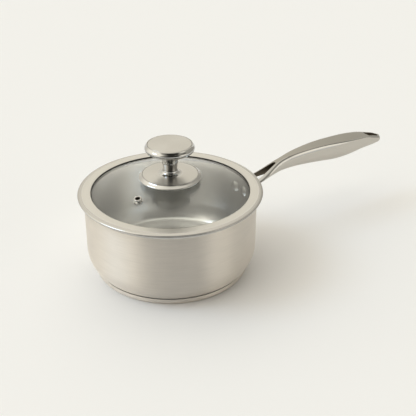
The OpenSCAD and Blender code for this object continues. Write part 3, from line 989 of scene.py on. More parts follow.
    def half_section(self, x: float) -> list[tuple[float, float]]:
        """Half of the cross-section at x.

        Args:
            x: Distance from the pan's wall.

        Returns:
            Points (y, z) from the inner top edge, out over the top, bevel and cheek, in under
            the belly and up the inner wall.
        """
        w, t, z = self.half_width(x), self.on_line(self.depth_line, x), self.on_line(self.top_line, x)
        v, s = self.on_line(self.fall_line, x), self.opening(x)
        b = min(self.on_line(self.bevel_line, x), 0.45 * w)
        ease = min(0.35, s * 0.5, max(0.0, (w - b - s) * 0.3))
        inner = [(s, -ease), (s + 0.3 * ease, -0.3 * ease), (s + ease, 0.0)]
        y0, y1 = s + ease, max(w - b, s + ease)
        top = [(y0 + (y1 - y0) * k / self.top_parts, 0.0) for k in range(1, self.top_parts + 1)]
        bevel = []
        for k in range(1, self.bevel_parts + 1):
            share, turn = k / self.bevel_parts, math.pi / 2 * k / self.bevel_parts
            bevel.append(
                (y1 + (w - y1) * (share + math.sin(turn)) / 2, -v * (share + 1 - math.cos(turn)) / 2)
            )
        cheek = [(w, -v), (1.02 * w, -0.45 * t), (0.96 * w, -0.68 * t), (0.8 * w, -0.87 * t)]
        belly = flowing([*cheek, (0.5 * w, -0.97 * t), (0.17 * w, -t), (-0.17 * w, -t)], 10)
        kept = [belly[0]]
        for p, q in zip(belly, belly[1:]):
            if q[0] <= s:
                share = (p[0] - s) / max(p[0] - q[0], 1e-9)
                kept.append((s, p[1] + (q[1] - p[1]) * share))
                break
            kept.append(q)
        lengths = [0.0]
        for p, q in zip(kept, kept[1:]):
            lengths.append(lengths[-1] + math.dist(p, q))
        under: list[Point] = []
        for k in range(1, self.cheek_parts + 1):
            goal = lengths[-1] * k / self.cheek_parts
            i = max(j for j in range(len(lengths)) if lengths[j] <= goal + 1e-9)
            i = min(i, len(kept) - 2)
            share = (goal - lengths[i]) / max(lengths[i + 1] - lengths[i], 1e-9)
            p, q = kept[i], kept[i + 1]
            under.append((p[0] + (q[0] - p[0]) * share, p[1] + (q[1] - p[1]) * share))
        low, high = under[-1][1], inner[0][1]
        wall = [(s, low + (high - low) * k / self.wall_parts) for k in range(1, self.wall_parts)]
        return [(y, z + dz) for y, dz in (*inner, *top, *bevel, *under, *wall)]

    def build_grip(self, finishes: Finishes) -> bpy.types.Object:
        """The casting: two mirrored halves that meet where there is no opening.

        Args:
            finishes: The saucepan's finishes.

        Returns:
            The piece.
        """
        places = self.stations()
        halves = [self.half_section(x) for x in places]
        count = len(halves[0])
        wall_from = 3 + self.top_parts + self.bevel_parts + self.cheek_parts - 1
        verts: list[tuple[float, float, float]] = []
        seen: dict[tuple[int, int, int], int] = {}

        def corner(station: int, i: int, side: int) -> int:
            """Index of a point, one for points in the same place.

            Args:
                station: Number of the cross-section.
                i: Number of the point in it.
                side: 1 for the left half and -1 for the right.

            Returns:
                The index.
            """
            y, z = halves[station][i % count]
            place = (self.wall_r + places[station], side * y, self.rivet_z + z)
            key = tuple(round(c * 2000) for c in place)
            if key not in seen:
                seen[key] = len(verts)
                verts.append(tuple(c * MM for c in place))
            return seen[key]

        faces: list[tuple[int, ...]] = []
        strips: list[int] = []

        def add(corners: Sequence[int], strip: int) -> None:
            """Adds a face if it has three different corners.

            Args:
                corners: Indices of its points.
                strip: Number of the strip that it lies in.
            """
            kept = tuple(dict.fromkeys(corners))
            if len(kept) > 2:
                faces.append(kept)
                strips.append(strip)

        for side in (1, -1):
            for s in range(len(places) - 1):
                solid = max(self.opening(places[s]), self.opening(places[s + 1])) < self.closed
                for i in range(count):
                    if solid and (i >= wall_from or i < 2):
                        continue
                    quad = [corner(s + a, i + b, side) for a, b in ((0, 0), (0, 1), (1, 1), (1, 0))]
                    add(quad if side > 0 else quad[::-1], i)
            root = [corner(0, i, side) for i in range(count)]
            add(root[::-1] if side > 0 else root, 0)
        piece = mesh_object("handle_casting", verts, faces)
        polished = range(2 + self.top_parts, 2 + self.top_parts + self.bevel_parts)
        mesh = piece.data
        for finish in ("handle_satin", "handle_polish", "handle_opening_painted_shade", "handle_top_painted_shade"):
            mesh.materials.append(finishes[finish])

        def slot_of(strip: int) -> int:
            """Chooses a strip's finish.

            Args:
                strip: Number of the strip.

            Returns:
                0 on the cheeks, 1 on the bevels, 2 on the openings' walls, painted shade, and 3 on the top, a
                darker copy of the cheeks' finish painted as shade.
            """
            if strip in polished:
                return 1
            if strip >= wall_from:
                return 2
            return 3 if strip < polished.start else 0

        if len(mesh.polygons) == len(strips):
            for face, strip in zip(mesh.polygons, strips):
                face.material_index = slot_of(strip)
        return piece

    def build_foot(self, finishes: Finishes) -> bpy.types.Object:
        """Curved foot that lies against the wall.

        Args:
            finishes: The saucepan's finishes.

        Returns:
            The piece.
        """
        half_w, r = self.root_w / 2 + 1, self.foot_r
        outline: list[Point] = []
        for cy, cz, start in (
            (half_w - r, self.foot_h - r, 0),
            (-half_w + r, self.foot_h - r, 90),
            (-half_w + r, r, 180),
            (half_w - r, r, 270),
        ):
            outline += arc(cy, cz, r, start, start + 90, 8)
        outline = divided(outline, 1.0)
        ease, face = self.foot_ease, self.foot_t + self.gap
        levels = ((self.gap, 0.0), (face - ease, 0.0), (face - 0.3 * ease, 0.3 * ease), (face, ease))
        verts: list[tuple[float, float, float]] = []
        for out, inset in levels:
            for y, z in outline:
                middle = self.foot_h / 2
                level = middle + (z - middle) * (1 - 2 * inset / self.foot_h)
                radius, turn = self.wall_r + out, y * (1 - inset / half_w) / self.wall_r
                high = self.rivet_z - self.foot_low + level
                verts.append((radius * math.cos(turn) * MM, radius * math.sin(turn) * MM, high * MM))
        n = len(outline)
        faces: list[tuple[int, ...]] = []
        for level in range(len(levels) - 1):
            for k in range(n):
                a, b = level * n + k, level * n + (k + 1) % n
                faces.append((a, b, b + n, a + n))
        rows = len(levels) - 1
        pairs = [(k, n - 1 - k) for k in range(n // 2)]
        for (a, b), (c, d) in zip(pairs, pairs[1:]):
            faces.append((a, b, d, c))
            faces.append((rows * n + a, rows * n + c, rows * n + d, rows * n + b))
        piece = mesh_object("handle_foot", verts, faces)
        paint(piece, (finishes["handle_satin"],))
        return piece

    def build(self, finishes: Finishes) -> None:
        """Builds the handle as one piece.

        Args:
            finishes: The saucepan's finishes.
        """
        grip, foot = self.build_grip(finishes), self.build_foot(finishes)
        with bpy.context.temp_override(active_object=grip, selected_editable_objects=[grip, foot]):
            bpy.ops.object.join()
        fit(grip, Body.PAN, "handle_steel", "handle")


@dataclass
class Rivets:
    """Two rivets that hold the handle, one for each leg."""

    wall_r: float = 82.0
    wall_t: float = 0.8
    height: float = 57.0
    pitch: float = 14.6
    shank_d: float = 4.8
    head_d: float = 11.0
    head_h: float = 1.8
    tail_d: float = 6.6
    tail_h: float = 1.1
    foot_t: float = 3.0
    gap: float = 0.05
    count: int = 2

    def one(self) -> bpy.types.Object:
        """One rivet on the Z axis, with its head down and the wall's outside face at 0.

        Returns:
            The rivet.
        """
        head_r = self.head_d / 2
        inner = self.wall_t + head_r**2 / (2 * (self.wall_r - self.wall_t)) + self.gap
        outer = self.foot_t + 2 * self.gap
        dome = (head_r**2 + self.head_h**2) / (2 * self.head_h)
        turn = math.degrees(math.asin(head_r / dome))
        outline = [
            *arc(0, -inner - self.head_h + dome, dome, -90, -90 + turn - 1.5, 12),
            (head_r, -inner - 0.15),
            (head_r, -inner),
            (self.shank_d / 2, -inner),
            (self.shank_d / 2, outer),
            *arc(self.tail_d / 2 - 0.8, outer + self.tail_h - 0.8, 0.8, 0, 90, 6),
            (0, outer + self.tail_h),
        ]
        return turned("rivet_pattern", outline, 64)

    def tree(self, source: bpy.types.Object, finish: bpy.types.Material) -> bpy.types.GeometryNodeTree:
        """Node tree that spaces the rivets round the wall.

        Args:
            source: One rivet; not used.
            finish: Its material.

        Returns:
            The tree, with inputs for the count, pitch, radius and height.
        """
        tree = bpy.data.node_groups.new("rivet_row", "GeometryNodeTree")
        tree.interface.new_socket("Geometry", in_out="OUTPUT", socket_type="NodeSocketGeometry")
        number = "NodeSocketFloat"
        kinds = {
            "Rivet": "NodeSocketObject", "Count": "NodeSocketInt", "Turn": number, "Radius": number,
            "Height": number
        }
        for label, kind in kinds.items():
            tree.interface.new_socket(label, in_out="INPUT", socket_type=kind)
        nodes, links = tree.nodes, tree.links
        ins, outs = nodes.new("NodeGroupInput"), nodes.new("NodeGroupOutput")
        line = nodes.new("GeometryNodeMeshLine")
        links.new(ins.outputs["Count"], line.inputs["Count"])
        index = nodes.new("GeometryNodeInputIndex")

        def maths(operation: str, a: object, b: object = 0.0) -> bpy.types.NodeSocket:
            """Adds a math node and gives its output."""
            return Effects.math(tree, operation, a, b)

        middle = maths("DIVIDE", maths("SUBTRACT", ins.outputs["Count"], 1.0), 2.0)
        angle = maths("MULTIPLY", maths("SUBTRACT", index.outputs[0], middle), ins.outputs["Turn"])
        place = nodes.new("ShaderNodeCombineXYZ")
        links.new(maths("MULTIPLY", maths("COSINE", angle), ins.outputs["Radius"]), place.inputs[0])
        links.new(maths("MULTIPLY", maths("SINE", angle), ins.outputs["Radius"]), place.inputs[1])
        links.new(ins.outputs["Height"], place.inputs[2])
        move = nodes.new("GeometryNodeSetPosition")
        links.new(line.outputs[0], move.inputs["Geometry"])
        links.new(place.outputs[0], move.inputs["Position"])
        spin = nodes.new("ShaderNodeCombineXYZ")
        spin.inputs[1].default_value = math.pi / 2
        links.new(angle, spin.inputs[2])
        rivet = nodes.new("GeometryNodeObjectInfo")
        links.new(ins.outputs["Rivet"], rivet.inputs[0])
        on_points = nodes.new("GeometryNodeInstanceOnPoints")
        links.new(move.outputs[0], on_points.inputs["Points"])
        links.new(rivet.outputs["Geometry"], on_points.inputs["Instance"])
        links.new(spin.outputs[0], on_points.inputs["Rotation"])
        real = nodes.new("GeometryNodeRealizeInstances")
        links.new(on_points.outputs[0], real.inputs[0])
        dress = nodes.new("GeometryNodeSetMaterial")
        dress.inputs["Material"].default_value = finish
        links.new(real.outputs[0], dress.inputs["Geometry"])
        links.new(dress.outputs[0], outs.inputs[0])
        return tree

    def build(self, finishes: Finishes) -> None:
        """Builds both rivets as one plain mesh.

        Args:
            finishes: The saucepan's finishes.
        """
        source = self.one()
        carrier = bpy.data.objects.new("rivet_carrier", bpy.data.meshes.new("rivet_carrier"))
        bpy.context.scene.collection.objects.link(carrier)
        row = carrier.modifiers.new("rivets", "NODES")
        row.node_group = self.tree(source, finishes["rivet_satin"])
        values = {
            "Rivet": source,
            "Count": self.count,
            "Turn": 2 * math.asin(self.pitch / 2 / self.wall_r),
            "Radius": self.wall_r * MM,
            "Height": self.height * MM,
        }
        for item in row.node_group.interface.items_tree:
            if item.in_out == "INPUT":
                row[item.identifier] = values[item.name]
        ready = carrier.evaluated_get(bpy.context.evaluated_depsgraph_get())
        mesh = smooth(bpy.data.meshes.new_from_object(ready))
        mesh.name = "handle_rivet_pair"
        piece = bpy.data.objects.new("handle_rivet_pair", mesh)
        bpy.context.scene.collection.objects.link(piece)
        for spare in (carrier, source):
            bpy.data.objects.remove(spare)
        fit(piece, Body.PAN, "polished_steel", "handle_rivets")


# ---------------------------------------------------------------- the lid


@dataclass
class Lid:
    """Domed glass in a rolled steel band, with its seal and steam vent."""

    seat_z: float = 79.3
    band_h: float = 2.0
    band_r: float = 87.7
    band_t: float = 0.5
    skirt_r: float = 80.4
    skirt_z: float = 73.7
    window_r: float = 75.5
    step_r: float = 81.5
    roll_from: float = 2.0
    roll_polish: float = 0.5
    glass_r: float = 79.35
    glass_t: float = 4.0
    hole_r: float = 5.25
    seal_t: float = 0.45
    seal_lip: float = 0.5
    rise: float = 12.0
    gap: float = 0.05
    vent_pos: float = 44.9
    vent_turn: float = 197.5
    vent_hole_r: float = 2.15
    tube_t: float = 0.7
    flange_r: float = 3.9
    flange_t: float = 1.0
    ring_r: float = 4.2
    ring_t: float = 0.8

    def __post_init__(self) -> None:
        """Works out the sphere that the glass follows."""
        self.band_top = self.seat_z + self.band_h
        window_z = self.band_top - self.band_t - self.seal_t - self.gap
        self.sphere_r = (self.window_r**2 + self.rise**2) / (2 * self.rise)
        self.sphere_z = window_z + self.rise - self.sphere_r

    def top(self, r: float) -> float:
        """Height of the glass's top face at distance r from the axis."""
        return self.sphere_z + math.sqrt(self.sphere_r**2 - r * r)

    def under(self, r: float) -> float:
        """Height of the glass's underside at distance r from the axis."""
        return self.sphere_z + math.sqrt((self.sphere_r - self.glass_t) ** 2 - r * r)

    def vent_place(self) -> Matrix:
        """Where the vent stands on the glass, square to it.

        Returns:
            Its place, in metres.
        """
        tilt = math.asin(self.vent_pos / self.sphere_r)
        return (
            Matrix.Rotation(math.radians(self.vent_turn), 4, "Z")
            @ Matrix.Translation((self.vent_pos * MM, 0, self.top(self.vent_pos) * MM))
            @ Matrix.Rotation(tilt, 4, "Y")
        )

    def build_glass(self, finishes: Finishes) -> None:
        """Glass dome with the vent's hole.

        Args:
            finishes: The saucepan's finishes.
        """
        steps = 60
        places = [self.hole_r + (self.glass_r - self.hole_r) * k / steps for k in range(steps + 1)]
        outline = [(r, self.top(r)) for r in places] + [(r, self.under(r)) for r in places[::-1]]
        glass = turned("lid_glass_dome", outline)
        hole_r = self.vent_hole_r + self.tube_t + self.gap
        drill = turned("vent_drill", [(0, -6), (hole_r, -6), (hole_r, 2), (0, 2)], 48, self.vent_place(), 20)
        cut_out(glass, drill)
        paint(glass, (finishes["lid_glass"],))
        fit(glass, Body.LID, "lid_glass", "lid_glass")

    def build_band(self, finishes: Finishes) -> None:
        """Rolled band and the soft seal inside it.

        Args:
            finishes: The saucepan's finishes.
        """
        fold = (self.band_h - self.band_t) / 2
        bead_r, bead_z = self.band_r - fold, self.seat_z + fold
        top, t = self.band_top, self.band_t
        flat_r = self.step_r + self.roll_from
        wide, high = self.band_r - flat_r, top - bead_z
        turns = [math.radians(a) for a in range(90, 0, -5)]
        roll = [(flat_r + wide * math.cos(a), bead_z + high * math.sin(a)) for a in turns]
        skirt = [
            (self.skirt_r, self.skirt_z, 0.4),
            (self.window_r, self.skirt_z, 0.15),
            (self.window_r, self.skirt_z + t, 0.15),
            (self.skirt_r - t, self.skirt_z + t, 0.2),
            (self.skirt_r - t, self.seat_z + t, 0.3),
        ]
        outline = [
            *eased([(self.window_r, top - t, 0.15), (self.window_r, top, 0.25)], 5),
            *roll,
            *arc(bead_r, bead_z, fold, 0, -90, 10),
            *eased([(self.skirt_r, self.seat_z, 0.6)], 5)[1:-1],
            *eased(skirt, 4),
            *arc(bead_r, bead_z, fold - t, -90, 80, 10),
            (self.step_r, top - t),
        ]
        band = turned("lid_band_steel", outline, longest=1.2)
        polish_r = flat_r + self.roll_polish
        paint(
            band, (finishes["band_satin"], finishes["rim_satin"]), lambda c,
            n: int(math.hypot(c.x, c.y) > polish_r)
        )
        fit(band, Body.LID, "brushed_steel", "lid_band")
        out_r, in_r = self.skirt_r - t - self.gap, self.window_r - self.seal_lip
        high, low = top - t - self.gap, self.skirt_z + t + self.gap
        held = [in_r + (self.glass_r - in_r) * k / 8 for k in range(9)]
        groove = self.glass_r + self.gap
        seal = turned(
            "lid_band_seal",
            [(in_r, high), (out_r, high), (out_r, low), (in_r, low)]
            + [(r, self.under(r) - self.gap) for r in held]
            + [(groove, self.under(self.glass_r)), (groove, self.top(self.glass_r))]
            + [(r, self.top(r) + self.gap) for r in held[::-1]],
        )
        paint(seal, (finishes["soft_seal"],))
        fit(seal, Body.LID, "soft_seal", "band_seal")

    def build_vent(self, finishes: Finishes) -> None:
        """Steam eyelet and the ring under the glass.

        Args:
            finishes: The saucepan's finishes.
        """
        hole, tube, seat = self.vent_hole_r, self.vent_hole_r + self.tube_t, 2 * self.gap
        low = self.glass_t + self.ring_t + 3 * self.gap
        fold = self.tube_t
        outline = eased([
            (hole, -low - fold, 0.2), (tube + fold, -low - fold, 0.35), (tube + fold, -low, 0.2),
            (tube, -low),
            (tube, seat), (self.flange_r, seat, 0.1), (self.flange_r, seat + self.flange_t, 0.6),
            (hole, seat + self.flange_t, 0.7),
        ])
        eyelet = turned("vent_eyelet_steel", outline, FINE_STEPS, self.vent_place(), 1.0)
        axis, middle = self.vent_place().to_3x3().col[2], self.vent_place().translation / MM

        def bore(centre: Vector, normal: Vector) -> int:
            """Chooses a face's finish.

            Args:
                centre: The face's centre, in millimetres.
                normal: The face's normal.

            Returns:
                1 inside the tube, where shade is painted, and 0 elsewhere.
            """
            across = centre - middle
            across -= axis * across.dot(axis)
            return int(across.length < hole + 0.3 and normal.dot(across) < 0)

        # The tube's bore is painted near-black: painted shade inside the hole.
        paint(eyelet, (finishes["knob_polish"], finishes["seam_shade"]), bore)
        fit(eyelet, Body.LID, "polished_steel", "vent_eyelet")
        high = -self.glass_t - 2 * self.gap
        inner = tube + self.gap
        ring = turned(
            "vent_ring_steel",
            eased(
                [
                    (inner, high - self.ring_t), (self.ring_r, high - self.ring_t, 0.25),
                    (self.ring_r, high, 0.1), (inner, high)
                ]
            ),
            FINE_STEPS, self.vent_place(), 1.0,
        )
        paint(ring, (finishes["knob_polish"],))
        fit(ring, Body.LID, "polished_steel", "vent_ring")

    def build(self, finishes: Finishes) -> None:
        """Builds the glass, band, seal and vent.

        Args:
            finishes: The saucepan's finishes.
        """
        self.build_glass(finishes)
        self.build_band(finishes)
        self.build_vent(finishes)


# ---------------------------------------------------------------- the knob


@dataclass
class Knob:
    """Turned knob: a hollow head and skirt with satin plates, joined by a polished stem."""

    apex_z: float = 92.3
    gasket_t: float = 1.0
    head_r: float = 23.4
    head_plate_r: float = 20.5
    head_h: float = 10.4
    skirt_r: float = 29.8
    skirt_plate_r: float = 26.0
    skirt_t: float = 5.0
    foot_h: float = 3.6
    collar_h: float = 7.2
    neck_h: float = 8.2
    foot_r: float = 12.0
    waist_r: float = 6.7
    top_r: float = 8.5
    shell_t: float = 0.9
    plate_t: float = 0.9
    crown: float = 0.5
    fall: float = 0.9
    bore_r: float = 2.75
    insert_r: float = 4.8
    insert_h: float = 9.0
    gasket_r: float = 12.0
    screw_r: float = 2.5
    screw_head_r: float = 4.8
    screw_head_h: float = 3.0
    slot_w: float = 1.4
    slot_h: float = 1.2
    washer_r: float = 10.5
    washer_t: float = 1.0
    bush_r: float = 5.2
    gap: float = 0.05
    seam: float = 0.28
    head_ledge: float = 1.5
    skirt_ledge: float = 1.2
    throat_over: float = 0.9
    collar_swell: float = 0.7
    foot_rise: float = 0.86
    insert_up: float = 0.4
    screw_short: float = 1.4

    def __post_init__(self) -> None:
        """Works out the heights of the stacked pieces."""
        self.skirt_z0 = self.apex_z + self.gasket_t
        self.skirt_top = self.skirt_z0 + self.skirt_t
        self.collar_z = self.skirt_top + self.foot_h
        self.neck_z = self.collar_z + self.collar_h
        self.head_z = self.neck_z + self.neck_h
        self.head_top = self.head_z + self.head_h

    @staticmethod
    def paint_seams(
        piece: bpy.types.Object, finishes: Finishes, pick: Callable[[Vector, Vector], int]
    ) -> None:
        """Polishes a piece and paints shade into its seams.

        Args:
            piece: The piece.
            finishes: The saucepan's finishes.
            pick: 1 for a face in a seam and 0 elsewhere.
        """
        paint(piece, (finishes["knob_polish"], finishes["seam_shade"]), pick)

    def build_head(self, finishes: Finishes) -> None:
        """Polished hollow head with its neck, and the satin plate in it.

        Args:
            finishes: The saucepan's finishes.
        """
        z, h, r, bore = self.head_z, self.head_h, self.head_r, self.insert_r + self.gap
        seat, top, t = self.head_plate_r + self.gap, self.head_top, self.plate_t
        ledge = seat - self.head_ledge
        throat = self.waist_r + self.throat_over
        wider, turns = self.top_r - throat, [math.radians(a) for a in range(0, 91, 10)]
        neck = [(throat + wider * (1 - math.cos(a)), self.neck_z + self.neck_h * math.sin(a)) for a in turns]
        shoulder = flowing([
            neck[-1], (self.top_r + 4, z + 0.12 * h), (r - 4.5, z + 0.2 * h), (r - 1.7, z + 0.34 * h),
            (r - 0.4, z + 0.5 * h), (r, z + 0.62 * h), (r - 0.3, z + 0.74 * h), (r - 1.3, z + 0.87 * h),
            (seat + 0.9, top - 0.2),
        ], 8)
        outline = [
            (bore, self.neck_z), *neck, *shoulder[1:], (seat + self.seam, top - 0.12),
            (seat, top - 0.12 - self.seam),
            (seat, top - t - self.gap), (ledge, top - t - self.gap),
            (ledge, top - t - self.shell_t),
            (r - 2.4, z + 0.62 * h), (r - 3.6, z + 0.2 * h + self.shell_t),
            (bore + 0.95, z + 0.1 * h + self.shell_t),
            (bore, z + 0.1 * h + self.shell_t),
        ]
        head = turned("knob_head_shell", outline, longest=1.0)
        groove = seat + self.seam
        self.paint_seams(head, finishes, lambda c, n: int(math.hypot(c.x, c.y) < groove and c.z > top - 1))
        fit(head, Body.LID, "polished_steel", "knob_head")
        plate_r, base = self.head_plate_r, top - t
        plate = turned("knob_head_plate", [
            (0, base), (plate_r, base), (plate_r, base + t - 0.15), (plate_r - 0.15, base + t),
            *[(plate_r * k / 12, base + t + self.crown * (1 - (k / 12) ** 2)) for k in range(11, -1, -1)],
        ])
        paint(plate, (finishes["knob_satin"],))
        fit(plate, Body.LID, "knob_satin", "knob_plate")

    def build_stem(self, finishes: Finishes) -> None:
        """Polished collar and the foot that flares onto the skirt.

        Args:
            finishes: The saucepan's finishes.
        """
        low, high, waist, seam = self.collar_z, self.neck_z, self.waist_r, self.seam
        lip_r = waist + self.collar_swell
        side = flowing([
            (waist, low + seam), (waist, low + 0.3 * self.collar_h),
            (waist + 0.25, low + 0.6 * self.collar_h),
            (lip_r, high - seam),
        ], 6)
        outline = [
            (self.bore_r, low), (waist - seam, low), *side, (lip_r - seam, high), (self.bore_r, high)
        ]
        collar = turned("knob_collar_steel", outline, longest=1.0)
        self.paint_seams(collar, finishes, lambda c, n: int(c.z < low + seam or c.z > high - seam))
        fit(collar, Body.LID, "polished_steel", "knob_collar")
        flare = self.foot_r - waist - 0.4
        turns, rise = [math.radians(a) for a in range(0, 91, 6)], self.foot_rise * self.foot_h
        sweep = [
            (self.foot_r - flare * math.sin(a), self.skirt_top + rise * (1 - math.cos(a))) for a in turns
        ]
        edge = [(waist + 0.3, low - 0.15), (waist + 0.15, low), (self.bore_r, low)]
        foot = turned("knob_foot_steel", [(self.bore_r, self.skirt_top), *sweep, *edge], longest=1.0)
        paint(foot, (finishes["knob_polish"],))
        fit(foot, Body.LID, "polished_steel", "knob_foot")

    def build_skirt(self, finishes: Finishes) -> None:
        """Polished skirt shell and the satin plate on it.

        Args:
            finishes: The saucepan's finishes.
        """
        r, z0, top, bore = self.skirt_r, self.skirt_z0, self.skirt_top, self.bore_r
        edge, seat, wide = top - self.fall, self.skirt_plate_r + self.gap, z0 + 0.3 * self.skirt_t
        t, shell, gasket = self.plate_t, self.shell_t, self.gasket_r + 1
        rim = flowing([
            (r - 6, z0 - 0.6), (r - 2.5, z0 - 0.3), (r - 0.6, wide - 0.9), (r, wide), (r - 0.3, wide + 0.6),
            (r - 1.4, wide + 1.3), (r - 2.3, wide + 1.9), (seat + 0.8, edge - 0.1),
        ], 8)
        outline = [
            (bore, z0), (gasket, z0), *rim, (seat + self.seam, edge - 0.05), (seat, edge - 0.05 - self.seam),
            (seat, edge - t - self.gap), (seat - self.skirt_ledge, edge - t - self.gap), (r - 5, wide + 0.2),
            (r - 5.5, z0 + shell - 0.5), (gasket, z0 + shell), (bore + 3, z0 + shell),
            (bore + 3, top - t - self.gap),
            (bore, top - t - self.gap),
        ]
        skirt = turned("knob_skirt_shell", outline, longest=1.0)
        near, far = seat - 0.5, seat + self.seam
        self.paint_seams(
            skirt, finishes, lambda c, n: int(near < math.hypot(c.x, c.y) < far and c.z > edge - 1)
        )
        fit(skirt, Body.LID, "polished_steel", "skirt_shell")
        plate_r, flat = self.skirt_plate_r, self.foot_r + 1
        slope = flowing(
            [(plate_r, edge), (0.7 * plate_r, edge + 0.6 * self.fall), (flat, top), (bore, top)], 8
        )
        plate = turned("knob_skirt_plate", [*slope[::-1], *[(a, b - t) for a, b in slope]])
        paint(plate, (finishes["knob_satin"],))
        fit(plate, Body.LID, "knob_satin", "skirt_plate")

    def build_fastening(self, finishes: Finishes, lid: Lid) -> None:
        """Screw, insert, washers and bush that hold the knob.

        Args:
            finishes: The saucepan's finishes.
            lid: The lid that the knob is on.
        """
        bore, under = self.bore_r, lid.under(self.gasket_r) - self.gap
        insert_z, washer_z = self.neck_z + self.insert_up, under - self.gasket_t - self.washer_t
        insert = turned("knob_insert_brass", eased([
            (self.screw_r + self.gap, insert_z), (self.insert_r, insert_z, 0.3),
            (self.insert_r, insert_z + self.insert_h, 0.3),
            (self.screw_r + self.gap, insert_z + self.insert_h),
        ], 3), FINE_STEPS)
        paint(insert, (finishes["insert_brass"],))
        fit(insert, Body.LID, "insert_brass", "knob_insert")
        low, high = washer_z - self.screw_head_h, insert_z + self.insert_h - self.screw_short
        screw = turned("knob_screw_steel", [
            (0, low), *eased([(self.screw_head_r, low, 0.8), (self.screw_head_r, washer_z, 0.1)], 5),
            (self.screw_r, washer_z), *eased([(self.screw_r, high, 0.4)], 3), (0, high),
        ], FINE_STEPS)
        wide, half, past = self.screw_head_r + 1, self.slot_w / 2, 1.0
        sides = ((-wide, -half), (wide, -half), (wide, half), (-wide, half))
        ends = [Vector((x, y, z)) * MM for z in (low - past, low + self.slot_h) for x, y in sides]
        blade = mesh_object(
            "slot_blade", ends,
            [(3, 2, 1, 0), (4, 5, 6, 7), (0, 1, 5, 4), (1, 2, 6, 5), (2, 3, 7, 6), (3, 0, 4, 7)]
        )
        cut_out(screw, blade, SLOT_ANGLE)
        paint(screw, (finishes["knob_polish"],))
        fit(screw, Body.LID, "polished_steel", "knob_screw")
        washer = turned("knob_washer_steel", eased([
            (bore, washer_z, 0.2), (self.washer_r, washer_z, 0.3),
            (self.washer_r, washer_z + self.washer_t, 0.2), (bore, washer_z + self.washer_t),
        ], 4), FINE_STEPS)
        paint(washer, (finishes["rim_satin"],))
        fit(washer, Body.LID, "polished_steel", "screw_washer")
        ring = [bore + (self.gasket_r - bore) * k / 8 for k in range(9)]
        upper = turned(
            "knob_gasket_upper",
            [
                (bore, self.skirt_z0), (self.gasket_r, self.skirt_z0)
            ] + [(r, lid.top(r) + self.gap) for r in ring[::-1]],
            FINE_STEPS
        )
        lower = turned("knob_gasket_lower", eased([
            (bore, under - self.gasket_t), (self.gasket_r, under - self.gasket_t, 0.3),
            (self.gasket_r, under, 0.3), (bore, under),
        ], 4), FINE_STEPS)
        bush_low, bush_high = under + self.gap, lid.top(self.bush_r)
        bush = turned(
            "knob_glass_bush",
            [(bore, bush_low), (self.bush_r, bush_low), (self.bush_r, bush_high), (bore, bush_high)],
            FINE_STEPS
        )
        for piece, node in ((upper, "upper_gasket"), (lower, "lower_gasket"), (bush, "glass_bush")):
            paint(piece, (finishes["soft_seal"],))
            fit(piece, Body.LID, "soft_seal", node)

    def build(self, finishes: Finishes, lid: Lid) -> None:
        """Builds the knob and what holds it.

        Args:
            finishes: The saucepan's finishes.
            lid: The lid that the knob is on.
        """
        self.build_head(finishes)
        self.build_stem(finishes)
        self.build_skirt(finishes)
        self.build_fastening(finishes, lid)


# ---------------------------------------------------------------- the studio


@dataclass(frozen=True)
class SkyPatch:
    """Round part of the sky that is brighter or darker than the rest."""

    left: float
    lift: float
    inner: float
    outer: float
    gain: float


SKY_LEVEL = 0.84
SKY_LOWEST = 0.03
SKY_PATCHES = (
    SkyPatch(80, 32, 5, 62, 0.58),
    SkyPatch(0, 22, 32, 50, -0.80),
    SkyPatch(-120, 15, 5, 60, -0.40),
    SkyPatch(-64, 12, 4, 22, 0.5),
    SkyPatch(-66, 44, 8, 26, -0.5),
    SkyPatch(180, 60, 10, 50, 0.2),
)


